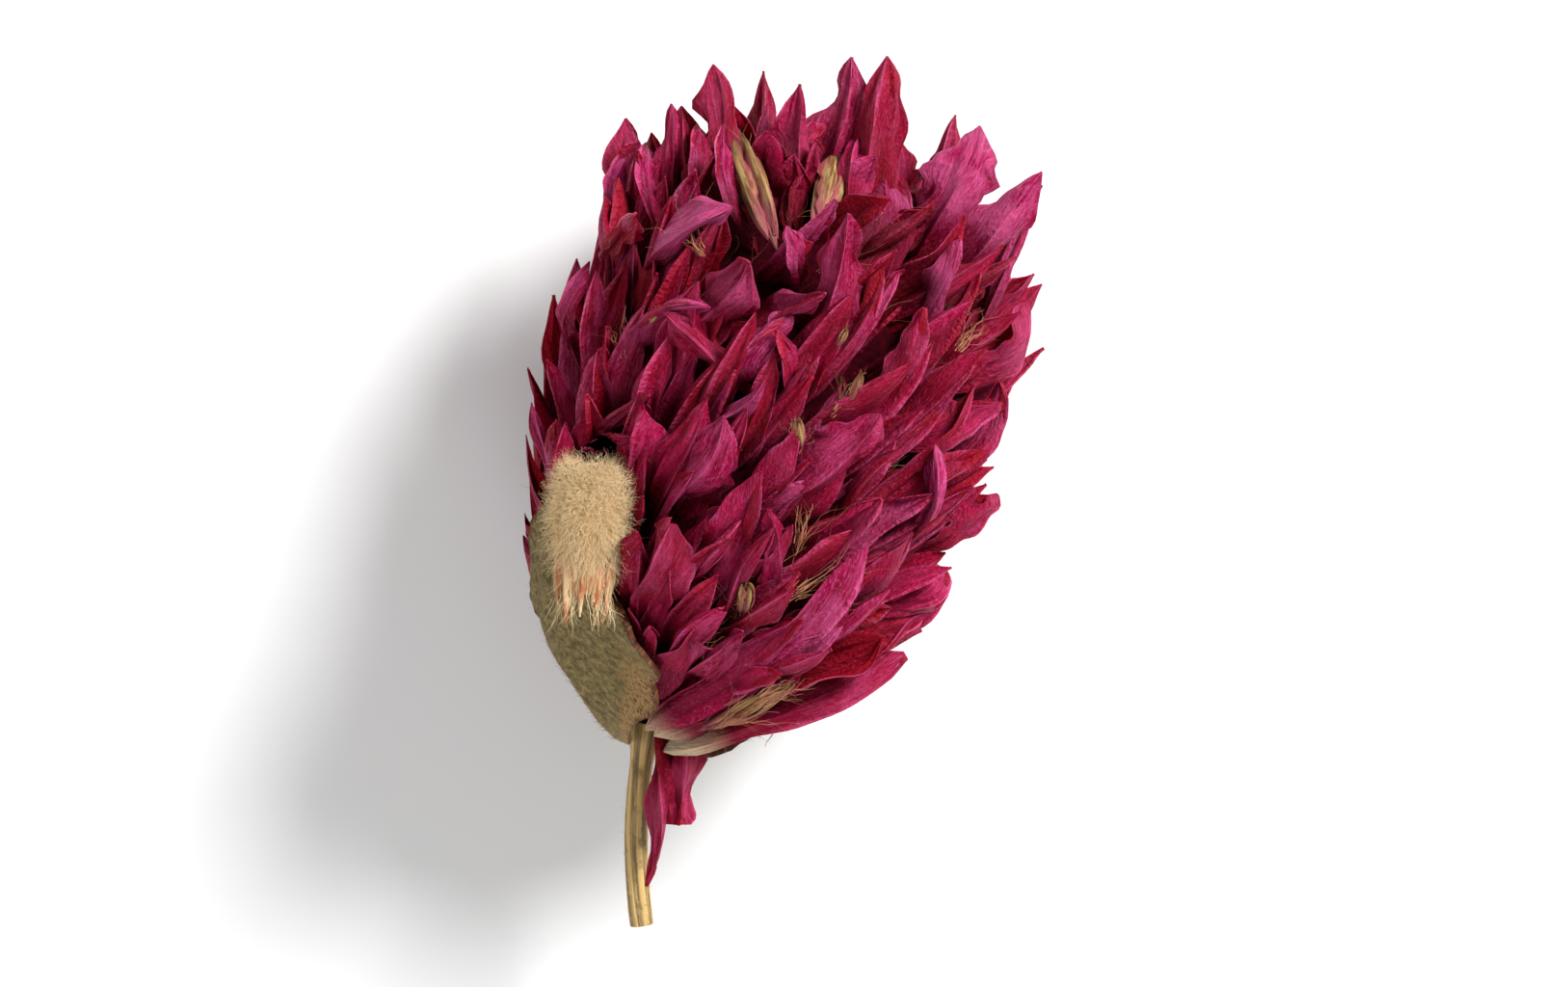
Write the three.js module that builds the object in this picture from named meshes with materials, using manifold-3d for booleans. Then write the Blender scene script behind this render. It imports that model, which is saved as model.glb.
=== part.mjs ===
// A dried globe amaranth flower, picked with a short piece of stem and lying on its side.
// Millimetres. +Y runs from the cut stem to the crown, +X to the right and +Z up from the surface
// that it lies on, with the origin in the middle of its footprint.
import * as THREE from "three";
import { mergeVertices } from "three/addons/utils/BufferGeometryUtils.js";
import Module from "manifold-3d";

const { lerp } = THREE.MathUtils;
const wasm = await Module();
wasm.setup();

const FLOOR = 0;
const CLEARANCE = 0.32; // left between two pieces that touch
const FINEST = 0.005; // joined surfaces leave out what is smaller than this

// The head leans over its stem. Each egg below is an outline turned about the head's axis, in
// heights from the head's base and radii from the axis. A higher round makes a squarer end. The
// bracteoles run from the roots' egg to the tips' egg, and the core fills the middle.
const HEAD_BASE = new THREE.Vector3(-6.8, -11.65, 10.1);
const HEAD_LEAN = THREE.MathUtils.degToRad(20);
const TIPS = { radius: 10.6, widest: 18, below: 17.2, above: 11, roundBelow: 2.4, roundAbove: 4 };
const CORE = { radius: 8.1, widest: 16.5, below: 15.4, above: 10, roundBelow: 2.2, roundAbove: 2.6 };
const ROOTS = { radius: 5.2, widest: 13, below: 12.4, above: 10, roundBelow: 2, roundAbove: 2 };
const CORE_ROWS = 14;
const CORE_SIDES = 24;

// The florets sit in a spiral, and each has two keeled, pointed bracteoles.
const FLORETS = 122;
const SPIRAL_TURN = Math.PI * (3 - Math.sqrt(5));
const SPIRAL_START = 0.02; // radians round the head from its right side
const LOWEST_TIP = 0.25; // share of the way from the base to the crown, along the tips' outline
const SWIRL = 0.45; // radians that a tip is turned round the head from its root
const PAIR_GAP = 1.05; // from a floret's middle to each of its two tips
const PAIR_ROLL = 0.5; // radians that the two keels turn away from each other
const PAIR_SPLAY = 0.5; // share of a tip's turn away from its floret that its root has too
const BRACTEOLE = { halfWidth: 1.2, keel: 0.85, bow: 1.0 };
const STATIONS = [0.36, 0.72]; // shares of a bracteole's length: in the core, and at its widest
const PLACED_STATIONS = [0.08, 0.6];
const FOOT_SIZE = 0.55; // a bracteole's width in the core, as a share of its widest

// How far each bracteole strays from the spiral either way: lengths, angles and shares.
const STRAY = { radius: 0.5, height: 0.7, aside: 0.35, swirl: 0.4, roll: 0.35, halfWidth: 0.15 };

// Above this share of the climb from the lowest florets to the top, bracteoles turn by degrees into
// those of the crown, which stray further along the axis and have less swirl and less bow.
const CROWN_FROM = 0.6;
const CROWN = { stray: 0.5, swirl: 0.4, bow: 0.2 };
const NARROWEST = 2.5; // smallest radius from the axis that gaps are turned into angles at

// Bracteoles that stand out from the rest, by their roots and tips: at the crown, along the lower
// right of the head, and two that hang beside the stem. Face is the way that their backs look.
const CROWN_BRACTEOLES = [
  { root: [-6.9, 8.6, 9.8], tip: [-7.0, 17.4, 10.5], halfWidth: 1.0 },
  { root: [-5.6, 9.8, 11.2], tip: [-5.6, 18.0, 12.5], halfWidth: 0.9 },
  { root: [-3.9, 11.0, 13.5], tip: [-3.1, 19.6, 12.5], halfWidth: 1.2 },
  { root: [-1.6, 11.4, 9.0], tip: [-1.2, 19.6, 9.5], halfWidth: 1.2 },
  { root: [-0.4, 10.6, 13.5], tip: [0.8, 18.7, 13.0], halfWidth: 0.9 },
  { root: [0.6, 11.0, 11.0], tip: [3.2, 20.0, 10.5], halfWidth: 1.1 },
  { root: [3.0, 11.0, 13.0], tip: [3.9, 20.0, 11.5], halfWidth: 1.2 },
  { root: [4.6, 10.6, 9.0], tip: [4.9, 17.6, 9.5], halfWidth: 0.8 },
  { root: [6.0, 10.6, 10.5], tip: [7.1, 17.6, 11.5], halfWidth: 0.8 },
  { root: [4.4, 9.6, 15.0], tip: [8.5, 17.1, 15.0], halfWidth: 1.6 },
  { root: [6.6, 7.6, 12.8], tip: [11.2, 15.0, 12.5], halfWidth: 1.2 },
  { root: [6.8, 3.2, 10.5], tip: [11.9, 14.1, 10.0], halfWidth: 1.0 },
].map((bracteole) => ({ ...bracteole, face: [0.1, 0, 1], bow: 0.4 }));
const BASE_BRACTEOLES = [
  { root: [-5.0, -10.2, 10.6], tip: [5.4, -7.6, 12.0], halfWidth: 1.2 },
  { root: [-5.2, -9.6, 12.0], tip: [4.2, -3.2, 17.4], halfWidth: 1.2 },
  { root: [-4.0, -9.2, 8.6], tip: [6.6, -4.6, 9.5], halfWidth: 1.2 },
  { root: [-4.6, -10.0, 8.6], tip: [1.0, -10.5, 6.5], halfWidth: 0.9 },
].map((bracteole) => ({ ...bracteole, face: [0.3, -0.8, 0.6], bow: 0.8 }));
const HANGING_BRACTEOLES = [
  { root: [-6.1, -8.6, 11.6], tip: [-6.5, -18.3, 11.6], halfWidth: 0.8 },
  { root: [-4.6, -8.2, 11.4], tip: [-5.1, -15.2, 11.4], halfWidth: 1.1 },
].map((bracteole) => ({ ...bracteole, face: [0, 0, 1], bow: 0.9 }));

// A leafy bract hugs the head's base on each side, from a foot to a tip at these shares of the way
// up the tips' outline. Turn is round the head, from its right side.
const LEAF = { foot: 0.035, tip: 0.35, halfWidth: 5.4, thickness: 0.6, rib: 0.3, wave: 0.22 };
const LEAF_SINK = 0.6; // how far its tip lies below the tips' outline
const LEAF_RIB_SHARE = 1 / 8; // the raised rib's half width, as a share of the leaf's whole width
const LEAF_RIPPLES = 5; // radians of its wave for each radian round, and from its foot to its tip
const LEAF_STEPS = { across: 8, along: 9 };
const LEAF_SPACE = 1.7; // the space cut for a leaf is wider by this many clearances on each side
const LEAF_TURN = THREE.MathUtils.degToRad(150);
const LEAF_PHASE = 0;
const UNDER_LEAF_TURN = THREE.MathUtils.degToRad(294);
const UNDER_LEAF_PHASE = 2;

// The stem's rings, from the cut end up to the head.
const STEM_POINTS = [
  new THREE.Vector3(-6.9, -20.05, 8.9),
  new THREE.Vector3(-7.15, -15.5, 9.5),
  new THREE.Vector3(-6.7, -10.95, 10.1),
];
const STEM_RADIUS = 0.55;
const STEM_TOP_RADIUS = 0.75;
const STEM_RIBS = 5;
const STEM_GROOVE = 0.9; // the radius between two ribs, as a share of the radius on one
const STEM_FLARE_FROM = 0.8; // share of its length where it starts to widen into the head
const STEM_STEPS = 8;

// A loose floret in its wool, caught on the head: a soft round body that ends in straw points.
const WOOL_TOP = new THREE.Vector3(-9.1, 1.4, 18.4);
const WOOL_FOOT = new THREE.Vector3(-9.4, -4.6, 18.0);
const WOOL_RADIUS = 1.85;
const WOOL_FOOT_SHARE = 0.75; // its radius at the foot, as a share of that at the top
const WOOL_ROWS = 8;
const WOOL_SIDES = 14;
const WOOL_LOCKS = { count: 44, lowest: 0.25, highest: 0.9, radius: 0.42, sweep: 0.5, rise: 0.25 };
const WOOL_POINTS = { count: 7, length: 1.9, stray: 0.4, radius: 0.45, spread: 0.95 };
const WOOL_POINT_ROOT = { height: 1.2, radius: 0.5 };
const WOOL_SPACE = 1.3; // the space cut for it stands off by this many clearances

const MAGENTA = 0x9c1f4c;
const STRAW = 0xa8945a;
const OLIVE = 0x7d7648;
const WOOL = 0xcdb583;

const HEAD_UP = new THREE.Vector3(Math.sin(HEAD_LEAN), Math.cos(HEAD_LEAN), 0);
const HEAD_RIGHT = new THREE.Vector3(Math.cos(HEAD_LEAN), -Math.sin(HEAD_LEAN), 0);
const HEAD_FRONT = new THREE.Vector3(0, 0, 1);

// A repeatable number from 0 to 1 for piece number index; channel picks which of its numbers.
function draw(index, channel) {
  let h = Math.imul(index + 1, 0x9e3779b1) ^ Math.imul(channel + 1, 0x85ebca6b);
  h = Math.imul(h ^ (h >>> 15), 0x2c1b3c6d);
  h = Math.imul(h ^ (h >>> 12), 0x297a2d39);
  return ((h ^ (h >>> 15)) >>> 0) / 4294967296;
}

// The same, from -1 to 1.
function spread(index, channel) {
  return 2 * draw(index, channel) - 1;
}

// Height and radius on an egg's outline, at angle 0 at its base and PI at its top.
function outline(egg, angle) {
  const below = angle < Math.PI / 2;
  const power = 2 / (below ? egg.roundBelow : egg.roundAbove);
  const along = Math.abs(Math.cos(angle)) ** power * (below ? -egg.below : egg.above);
  return { height: egg.widest + along, radius: egg.radius * Math.sin(angle) ** power };
}

// The way out from the head's axis. Turn PI / 2 faces up from the surface that it lies on.
function outward(turn) {
  return HEAD_RIGHT.clone()
    .multiplyScalar(Math.cos(turn))
    .addScaledVector(HEAD_FRONT, Math.sin(turn));
}

function headPoint(height, radius, turn) {
  return HEAD_BASE.clone().addScaledVector(HEAD_UP, height).addScaledVector(outward(turn), radius);
}

// The point on an egg at an angle up its outline and a turn round it, lifted off its surface.
function eggPoint(egg, angle, turn, lift) {
  const before = outline(egg, angle - 0.01);
  const after = outline(egg, angle + 0.01);
  const rise = new THREE.Vector2(after.height - before.height, before.radius - after.radius);
  const off = rise.setLength(lift);
  const { height, radius } = outline(egg, angle);
  return headPoint(height + off.y, radius + off.x, turn);
}

// Angles on an egg's outline that share its surface out equally, from a lowest share up to the top.
function evenAngles(egg, count, lowest) {
  const steps = 720;
  const areas = [0];
  for (let i = 1; i <= steps; i += 1) {
    const a = outline(egg, ((i - 1) / steps) * Math.PI);
    const b = outline(egg, (i / steps) * Math.PI);
    const area = (a.radius + b.radius) * Math.hypot(b.radius - a.radius, b.height - a.height);
    areas.push(areas[i - 1] + area);
  }
  const first = areas[Math.round(lowest * steps)];
  const angles = [];
  let step = 0;
  for (let i = 0; i < count; i += 1) {
    const wanted = first + ((areas[steps] - first) * (i + 0.5)) / count;
    while (areas[step + 1] < wanted) step += 1;
    const between = (wanted - areas[step]) / (areas[step + 1] - areas[step]);
    angles.push(((step + between) / steps) * Math.PI);
  }
  return angles;
}

// A closed skin over rings of points, each ring turning right-handed about the way they follow.
// A ring of one point makes a pointed end.
function skin(rings) {
  const points = rings.flat();
  const faces = [];
  const starts = rings.map((ring, i) => rings.slice(0, i).flat().length);
  const at = (i, j) => starts[i] + (j % rings[i].length);
  rings.slice(1).forEach((next, i) => {
    const count = Math.max(rings[i].length, next.length);
    for (let j = 0; j < count; j += 1) {
      if (rings[i].length > 1) faces.push([at(i, j), at(i, j + 1), at(i + 1, j + 1)]);
      if (next.length > 1) faces.push([at(i, j), at(i + 1, j + 1), at(i + 1, j)]);
    }
  });
  const last = rings.length - 1;
  for (let j = 1; j < rings[0].length - 1; j += 1) faces.push([0, j + 1, j]);
  for (let j = 1; j < rings[last].length - 1; j += 1) {
    faces.push([at(last, 0), at(last, j), at(last, j + 1)]);
  }
  const geometry = new THREE.BufferGeometry().setFromPoints(points);
  geometry.setIndex(faces.flat());
  return geometry;
}

// A closed sheet. pointAt gives its points from a share across, a share along and a side, which is
// 0 or 1. Across, along and out through side 1 are right-handed.
function sheet(pointAt, acrossSteps, alongSteps) {
  const points = [];
  for (const side of [0, 1]) {
    for (let j = 0; j <= alongSteps; j += 1) {
      for (let i = 0; i <= acrossSteps; i += 1) {
        points.push(pointAt(i / acrossSteps, j / alongSteps, side));
      }
    }
  }
  const row = acrossSteps + 1;
  const at = (i, j, side) => i + j * row + side * row * (alongSteps + 1);
  const faces = [];
  for (let j = 0; j < alongSteps; j += 1) {
    for (let i = 0; i < acrossSteps; i += 1) {
      faces.push([at(i, j, 1), at(i + 1, j, 1), at(i + 1, j + 1, 1)]);
      faces.push([at(i, j, 1), at(i + 1, j + 1, 1), at(i, j + 1, 1)]);
      faces.push([at(i, j, 0), at(i + 1, j + 1, 0), at(i + 1, j, 0)]);
      faces.push([at(i, j, 0), at(i, j + 1, 0), at(i + 1, j + 1, 0)]);
    }
  }
  const rim = [];
  for (let i = 0; i < acrossSteps; i += 1) rim.push([i, 0]);
  for (let j = 0; j < alongSteps; j += 1) rim.push([acrossSteps, j]);
  for (let i = acrossSteps; i > 0; i -= 1) rim.push([i, alongSteps]);
  for (let j = alongSteps; j > 0; j -= 1) rim.push([0, j]);
  rim.forEach((p, k) => {
    const q = rim[(k + 1) % rim.length];
    faces.push([at(...p, 0), at(...q, 0), at(...q, 1)]);
    faces.push([at(...p, 0), at(...q, 1), at(...p, 1)]);
  });
  const geometry = new THREE.BufferGeometry().setFromPoints(points);
  geometry.setIndex(faces.flat());
  return geometry;
}

function toSolid(geometry) {
  const bare = new THREE.BufferGeometry();
  bare.setAttribute("position", geometry.getAttribute("position"));
  bare.setIndex(geometry.index);
  const merged = mergeVertices(bare, 1e-5);
  return new wasm.Manifold(
    new wasm.Mesh({
      numProp: 3,
      vertProperties: merged.getAttribute("position").array,
      triVerts: new Uint32Array(merged.index.array),
    }),
  );
}

function toGeometry(solid) {
  const { numVert, numProp, vertProperties, triVerts } = solid.getMesh();
  const positions = new Float32Array(numVert * 3);
  for (let i = 0; i < numVert; i += 1) {
    positions.set(vertProperties.subarray(i * numProp, i * numProp + 3), i * 3);
  }
  const geometry = new THREE.BufferGeometry();
  geometry.setAttribute("position", new THREE.BufferAttribute(positions, 3));
  geometry.setIndex(new THREE.BufferAttribute(triVerts, 1));
  return geometry;
}

// The biggest body of a solid, without the scraps and slivers that joins and cuts leave.
function tidied(solid) {
  const bodies = solid.asOriginal().simplify(FINEST).decompose();
  return bodies.reduce((best, body) => (body.volume() > best.volume() ? body : best));
}

function core() {
  const profile = [];
  for (let i = 0; i <= CORE_ROWS; i += 1) {
    const { height, radius } = outline(CORE, (i / CORE_ROWS) * Math.PI);
    profile.push(new THREE.Vector2(i % CORE_ROWS ? radius : 0, height));
  }
  const frame = new THREE.Matrix4()
    .makeBasis(HEAD_RIGHT, HEAD_UP, HEAD_RIGHT.clone().cross(HEAD_UP))
    .setPosition(HEAD_BASE);
  return toSolid(new THREE.LatheGeometry(profile, CORE_SIDES).applyMatrix4(frame));
}

// A keeled pointed blade on a bowed line from root to tip. Face is the way that its back looks.
function bracteole({ root, tip, face, roll = 0, halfWidth, bow, stations = STATIONS }) {
  const middle = root.clone().add(tip).multiplyScalar(0.5).addScaledVector(face, bow);
  const line = new THREE.QuadraticBezierCurve3(root, middle, tip);
  const rings = stations.map((share, i) => {
    const along = line.getTangent(share);
    const back = face.clone().addScaledVector(along, -face.dot(along)).normalize();
    back.applyAxisAngle(along, roll);
    const side = back.clone().cross(along);
    const size = i === 0 ? FOOT_SIZE : 1;
    return [
      line.getPoint(share).addScaledVector(side, halfWidth * size),
      line.getPoint(share).addScaledVector(back, BRACTEOLE.keel * size),
      line.getPoint(share).addScaledVector(side, -halfWidth * size),
    ];
  });
  return toSolid(skin([...rings, [tip]]));
}

// Where each bracteole of the spiral is rooted, where its tip is and how it is turned.
function spiralBracteoles() {
  return evenAngles(TIPS, FLORETS, LOWEST_TIP).flatMap((angle, i) => {
    const turn = SPIRAL_START + i * SPIRAL_TURN;
    const climb = (angle / Math.PI - LOWEST_TIP) / (1 - LOWEST_TIP);
    const crown = Math.max(0, climb - CROWN_FROM) / (1 - CROWN_FROM);
    const tipAt = outline(TIPS, angle);
    const rootAt = outline(ROOTS, climb * Math.PI);
    return [-1, 1].map((half, k) => {
      const index = 2 * i + k;
      const radius = tipAt.radius + STRAY.radius * spread(index, 0);
      const height = tipAt.height + (STRAY.height + CROWN.stray * crown) * spread(index, 1);
      const gap = half * PAIR_GAP + STRAY.aside * spread(index, 2);
      const aside = gap / Math.max(radius, NARROWEST);
      const swirl = SWIRL * lerp(1, CROWN.swirl, crown) * (1 + STRAY.swirl * spread(index, 3));
      const tipTurn = turn + aside - swirl;
      const face = outward(tipTurn).multiplyScalar(Math.sin(angle));
      face.addScaledVector(HEAD_UP, -Math.max(0, Math.cos(angle)));
      return {
        root: headPoint(rootAt.height, rootAt.radius, turn + aside * PAIR_SPLAY),
        tip: headPoint(height, radius, tipTurn),
        face: face.normalize(),
        roll: half * PAIR_ROLL + STRAY.roll * spread(index, 4),
        halfWidth: BRACTEOLE.halfWidth * (1 + STRAY.halfWidth * spread(index, 5)),
        bow: BRACTEOLE.bow * lerp(1, CROWN.bow, crown),
      };
    });
  });
}

function placedBracteole({ root, tip, face, ...rest }) {
  return bracteole({
    root: new THREE.Vector3(...root),
    tip: new THREE.Vector3(...tip),
    face: new THREE.Vector3(...face).normalize(),
    stations: PLACED_STATIONS,
    ...rest,
  });
}

// A leaf's half width at a share of the way from its foot to its tip, as a share of its widest.
function leafShape(along) {
  return Math.sin(Math.PI * (0.03 + 0.95 * along) ** 0.8) ** 0.8;
}

// A leafy bract, or, grown by a clearance, the space that it takes.
function leafBract(middleTurn, phase, grow = 0) {
  const pointAt = (across, along, side) => {
    const end = along === 0 ? -1 : Math.floor(along);
    const share = lerp(LEAF.foot, LEAF.tip, along) + (end * grow) / TIPS.below / 2;
    const { radius } = outline(TIPS, share * Math.PI);
    const halfWidth = LEAF.halfWidth * leafShape(along) + LEAF_SPACE * grow;
    const turn = (halfWidth / radius) * (1 - 2 * across);
    const wave = LEAF.wave * along * Math.sin(LEAF_RIPPLES * (turn + along) + phase);
    const rib = LEAF.rib * Math.max(0, 1 - Math.abs(across - 0.5) / LEAF_RIB_SHARE);
    const lift = wave - LEAF_SINK * along + (side ? grow + rib : -LEAF.thickness - grow);
    return eggPoint(TIPS, share * Math.PI, middleTurn + turn, lift);
  };
  return toSolid(sheet(pointAt, LEAF_STEPS.across, LEAF_STEPS.along));
}

function stem(grow = 0) {
  const line = new THREE.CatmullRomCurve3(STEM_POINTS);
  const sides = 2 * STEM_RIBS;
  const rings = [];
  for (let i = 0; i <= STEM_STEPS; i += 1) {
    const share = i / STEM_STEPS;
    const along = line.getTangent(share);
    const side = HEAD_FRONT.clone().cross(along).normalize();
    const back = along.clone().cross(side);
    const flare = Math.max(0, share - STEM_FLARE_FROM) / (1 - STEM_FLARE_FROM);
    const ring = [];
    for (let j = 0; j < sides; j += 1) {
      const turn = (j / sides) * 2 * Math.PI;
      const rib = j % 2 ? STEM_GROOVE : 1;
      const radius = lerp(STEM_RADIUS, STEM_TOP_RADIUS, flare) * rib + grow;
      ring.push(
        line
          .getPoint(share)
          .addScaledVector(side, radius * Math.cos(turn))
          .addScaledVector(back, radius * Math.sin(turn)),
      );
    }
    rings.push(ring);
  }
  return toSolid(skin(rings));
}

// The loose floret's radius at a share of the way from its foot to its top.
function woolRadius(share) {
  const round = (1 - Math.abs(2 * share - 1) ** 3) ** (1 / 3);
  return WOOL_RADIUS * lerp(WOOL_FOOT_SHARE, 1, share) * round;
}

// The loose floret's round body, or, grown by a clearance, the space that it takes.
function woolBody(grow = 0) {
  const length = WOOL_TOP.distanceTo(WOOL_FOOT);
  const profile = [];
  for (let i = 0; i <= WOOL_ROWS; i += 1) {
    const share = 0.5 - 0.5 * Math.cos((i / WOOL_ROWS) * Math.PI);
    const radius = i % WOOL_ROWS ? woolRadius(share) + grow : 0;
    profile.push(new THREE.Vector2(radius, share * (length + 2 * grow) - grow));
  }
  return new THREE.LatheGeometry(profile, WOOL_SIDES).applyMatrix4(woolFrame());
}

// From the loose floret's foot towards its top.
function woolFrame() {
  const up = WOOL_TOP.clone().sub(WOOL_FOOT).normalize();
  const side = up.clone().cross(HEAD_FRONT).normalize();
  return new THREE.Matrix4().makeBasis(side, up, side.clone().cross(up)).setPosition(WOOL_FOOT);
}

// A thin three-sided point from a root to a tip.
function spike(root, tip, radius) {
  const along = tip.clone().sub(root).normalize();
  const side = Math.abs(along.y) < 0.9 ? new THREE.Vector3(0, 1, 0) : new THREE.Vector3(1, 0, 0);
  side.cross(along).normalize();
  const back = along.clone().cross(side);
  const ring = [0, 1, 2].map((j) => {
    const turn = (j / 3) * 2 * Math.PI;
    return root
      .clone()
      .addScaledVector(side, radius * Math.cos(turn))
      .addScaledVector(back, radius * Math.sin(turn));
  });
  return toSolid(skin([ring, [tip]]));
}

function woollyFloret() {
  const length = WOOL_TOP.distanceTo(WOOL_FOOT);
  const frame = woolFrame();
  const at = (turn, height, radius) =>
    new THREE.Vector3(radius * Math.cos(turn), height, radius * Math.sin(turn)).applyMatrix4(frame);
  const spikes = [];
  for (let i = 0; i < WOOL_LOCKS.count; i += 1) {
    const turn = i * SPIRAL_TURN;
    const share = lerp(WOOL_LOCKS.lowest, WOOL_LOCKS.highest, (i + 0.5) / WOOL_LOCKS.count);
    const height = share * length;
    const radius = woolRadius(share);
    const tip = at(turn, height + WOOL_LOCKS.sweep, radius + WOOL_LOCKS.rise);
    spikes.push(spike(at(turn, height, radius * 0.6), tip, WOOL_LOCKS.radius));
  }
  for (let i = 0; i < WOOL_POINTS.count; i += 1) {
    const turn = (i / WOOL_POINTS.count) * 2 * Math.PI;
    const root = at(turn, WOOL_POINT_ROOT.height, WOOL_POINT_ROOT.radius);
    const reach = WOOL_POINTS.length + WOOL_POINTS.stray * spread(i, 9);
    spikes.push(spike(root, at(turn, -reach, WOOL_POINTS.spread), WOOL_POINTS.radius));
  }
  return tidied(wasm.Manifold.union([toSolid(woolBody()), ...spikes]));
}

function flowerHead() {
  const blades = spiralBracteoles().map(bracteole);
  const placed = [...CROWN_BRACTEOLES, ...BASE_BRACTEOLES, ...HANGING_BRACTEOLES];
  const whole = wasm.Manifold.union([core(), ...blades, ...placed.map(placedBracteole)]);
  const spaces = wasm.Manifold.union([
    leafBract(LEAF_TURN, LEAF_PHASE, CLEARANCE),
    leafBract(UNDER_LEAF_TURN, UNDER_LEAF_PHASE, CLEARANCE),
    stem(CLEARANCE),
    toSolid(woolBody(WOOL_SPACE * CLEARANCE + WOOL_LOCKS.rise)),
  ]);
  return tidied(whole.subtract(spaces).trimByPlane([0, 0, 1], FLOOR));
}

function mesh(name, solid, color, roughness) {
  const material = new THREE.MeshStandardMaterial({ color, roughness, metalness: 0 });
  const made = new THREE.Mesh(toGeometry(solid), material);
  made.name = name;
  return made;
}

const flower = new THREE.Group();
flower.add(mesh("flower_head", flowerHead(), MAGENTA, 0.7));
flower.add(mesh("stem", stem(), STRAW, 0.75));
flower.add(mesh("leaf_bract", leafBract(LEAF_TURN, LEAF_PHASE), OLIVE, 0.85));
flower.add(mesh("leaf_bract_under", leafBract(UNDER_LEAF_TURN, UNDER_LEAF_PHASE), OLIVE, 0.85));
flower.add(mesh("woolly_floret", woollyFloret(), WOOL, 0.95));
export default flower;
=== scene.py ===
"""The looks of a dried globe amaranth flower, picked with a short stem and lying on its side.

Lengths are in millimetres, as the flower is measured, and become metres when a mesh is made.
+Y runs from the cut stem to the crown, and +Z up from the surface that it lies on.
"""

import math

import bpy
import numpy as np
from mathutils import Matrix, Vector


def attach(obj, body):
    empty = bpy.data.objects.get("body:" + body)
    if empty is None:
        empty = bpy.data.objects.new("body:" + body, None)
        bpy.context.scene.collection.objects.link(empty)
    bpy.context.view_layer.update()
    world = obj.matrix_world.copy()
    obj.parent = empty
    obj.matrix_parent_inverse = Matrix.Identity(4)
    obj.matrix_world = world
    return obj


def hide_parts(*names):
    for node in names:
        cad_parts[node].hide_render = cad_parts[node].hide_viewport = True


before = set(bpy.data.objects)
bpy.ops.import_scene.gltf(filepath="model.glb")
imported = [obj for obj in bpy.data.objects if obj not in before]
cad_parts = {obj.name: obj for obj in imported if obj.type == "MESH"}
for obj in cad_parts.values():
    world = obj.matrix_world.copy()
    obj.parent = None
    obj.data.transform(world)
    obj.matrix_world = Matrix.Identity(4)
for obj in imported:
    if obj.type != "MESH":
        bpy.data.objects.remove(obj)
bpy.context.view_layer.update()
MM = 0.001

# The head, as in its solids: it leans over its stem, and each egg is an outline turned about its
# axis, in heights from the head's base and radii from the axis.
HEAD_BASE = np.array([-6.8, -11.65, 10.1])
HEAD_LEAN = math.radians(20)
HEAD_UP = np.array([math.sin(HEAD_LEAN), math.cos(HEAD_LEAN), 0])
HEAD_RIGHT = np.array([math.cos(HEAD_LEAN), -math.sin(HEAD_LEAN), 0])
HEAD_FRONT = np.array([0.0, 0.0, 1.0])
TIPS = {"radius": 10.6, "widest": 18, "below": 17.2, "above": 11, "round_below": 2.4, "round_above": 4}
CORE = {"radius": 8.1, "widest": 16.5, "below": 15.4, "above": 10, "round_below": 2.2, "round_above": 2.6}
ROOTS = {"radius": 4.8, "widest": 14.2, "below": 12.2, "above": 10.6, "round_below": 2, "round_above": 2}

# The spiral of florets, each with two bracteoles.
FLORETS = 122
SPIRAL_TURN = math.pi * (3 - math.sqrt(5))
SPIRAL_START = 0.02
LOWEST_TIP = 0.25
SWIRL = 0.45
PAIR_GAP = 1.05
PAIR_ROLL = 0.8
PAIR_SPLAY = 0.5
STRAY = {"radius": 0.5, "height": 0.7, "aside": 0.35, "swirl": 0.4, "roll": 0.7, "half_width": 0.25,
         "root": 0.9}
CROWN_FROM = 0.6
CROWN = {"stray": 0.5, "swirl": 0.4, "bow": 0.2}
NARROWEST = 2.5
HALF_WIDTH = 1.1
BOW = 1.0

# The small bracteoles between them: how far their tips lie below and under the others', how far
# they stray, and their shape.
SMALL = {
    "lower": 0.8, "deeper": 0.7, "stray": 0.6, "aside": 0.2, "roll": 1.2, "half_width": 0.9, "bow": 0.7,
}

# How much further round the head the bracteoles' roots lie than in its solids.
SLANT = 0.3

# Bracteoles that stand out from the rest: root, tip, half width and what else sets each apart.
CROWN_BRACTEOLES = [
    ((-6.9, 8.6, 9.8), (-7.0, 17.4, 10.5), 1.1, {}),
    ((-5.6, 9.8, 11.2), (-5.6, 18.0, 12.5), 0.9, {}),
    ((-3.9, 11.0, 13.5), (-3.1, 19.6, 12.5), 1.4, {"hook": 1.0}),
    ((-1.6, 11.4, 9.0), (-1.2, 19.6, 9.5), 1.3, {}),
    ((-0.4, 10.6, 13.5), (0.8, 18.7, 13.0), 1.1, {}),
    ((0.6, 11.0, 11.0), (3.2, 20.0, 10.5), 1.4, {"hook": 0.8, "pale": 0.5}),
    ((3.0, 11.0, 13.0), (3.9, 20.0, 11.5), 1.3, {}),
    ((4.6, 10.6, 9.0), (4.9, 17.6, 9.5), 0.8, {}),
    ((6.0, 10.6, 10.5), (7.1, 17.6, 11.5), 0.8, {}),
    ((5.2, 9.0, 13.5), (8.5, 17.1, 14.0), 1.45, {"spreading": 0.25, "pale": 0.9}),
    ((6.0, 8.2, 13.8), (11.2, 15.0, 14.5), 1.1, {"spreading": 0.2, "pale": 0.9}),
    ((6.8, 3.2, 10.5), (11.9, 14.1, 10.0), 0.85, {"spreading": 0.2, "pale": 0.7}),
]
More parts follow.
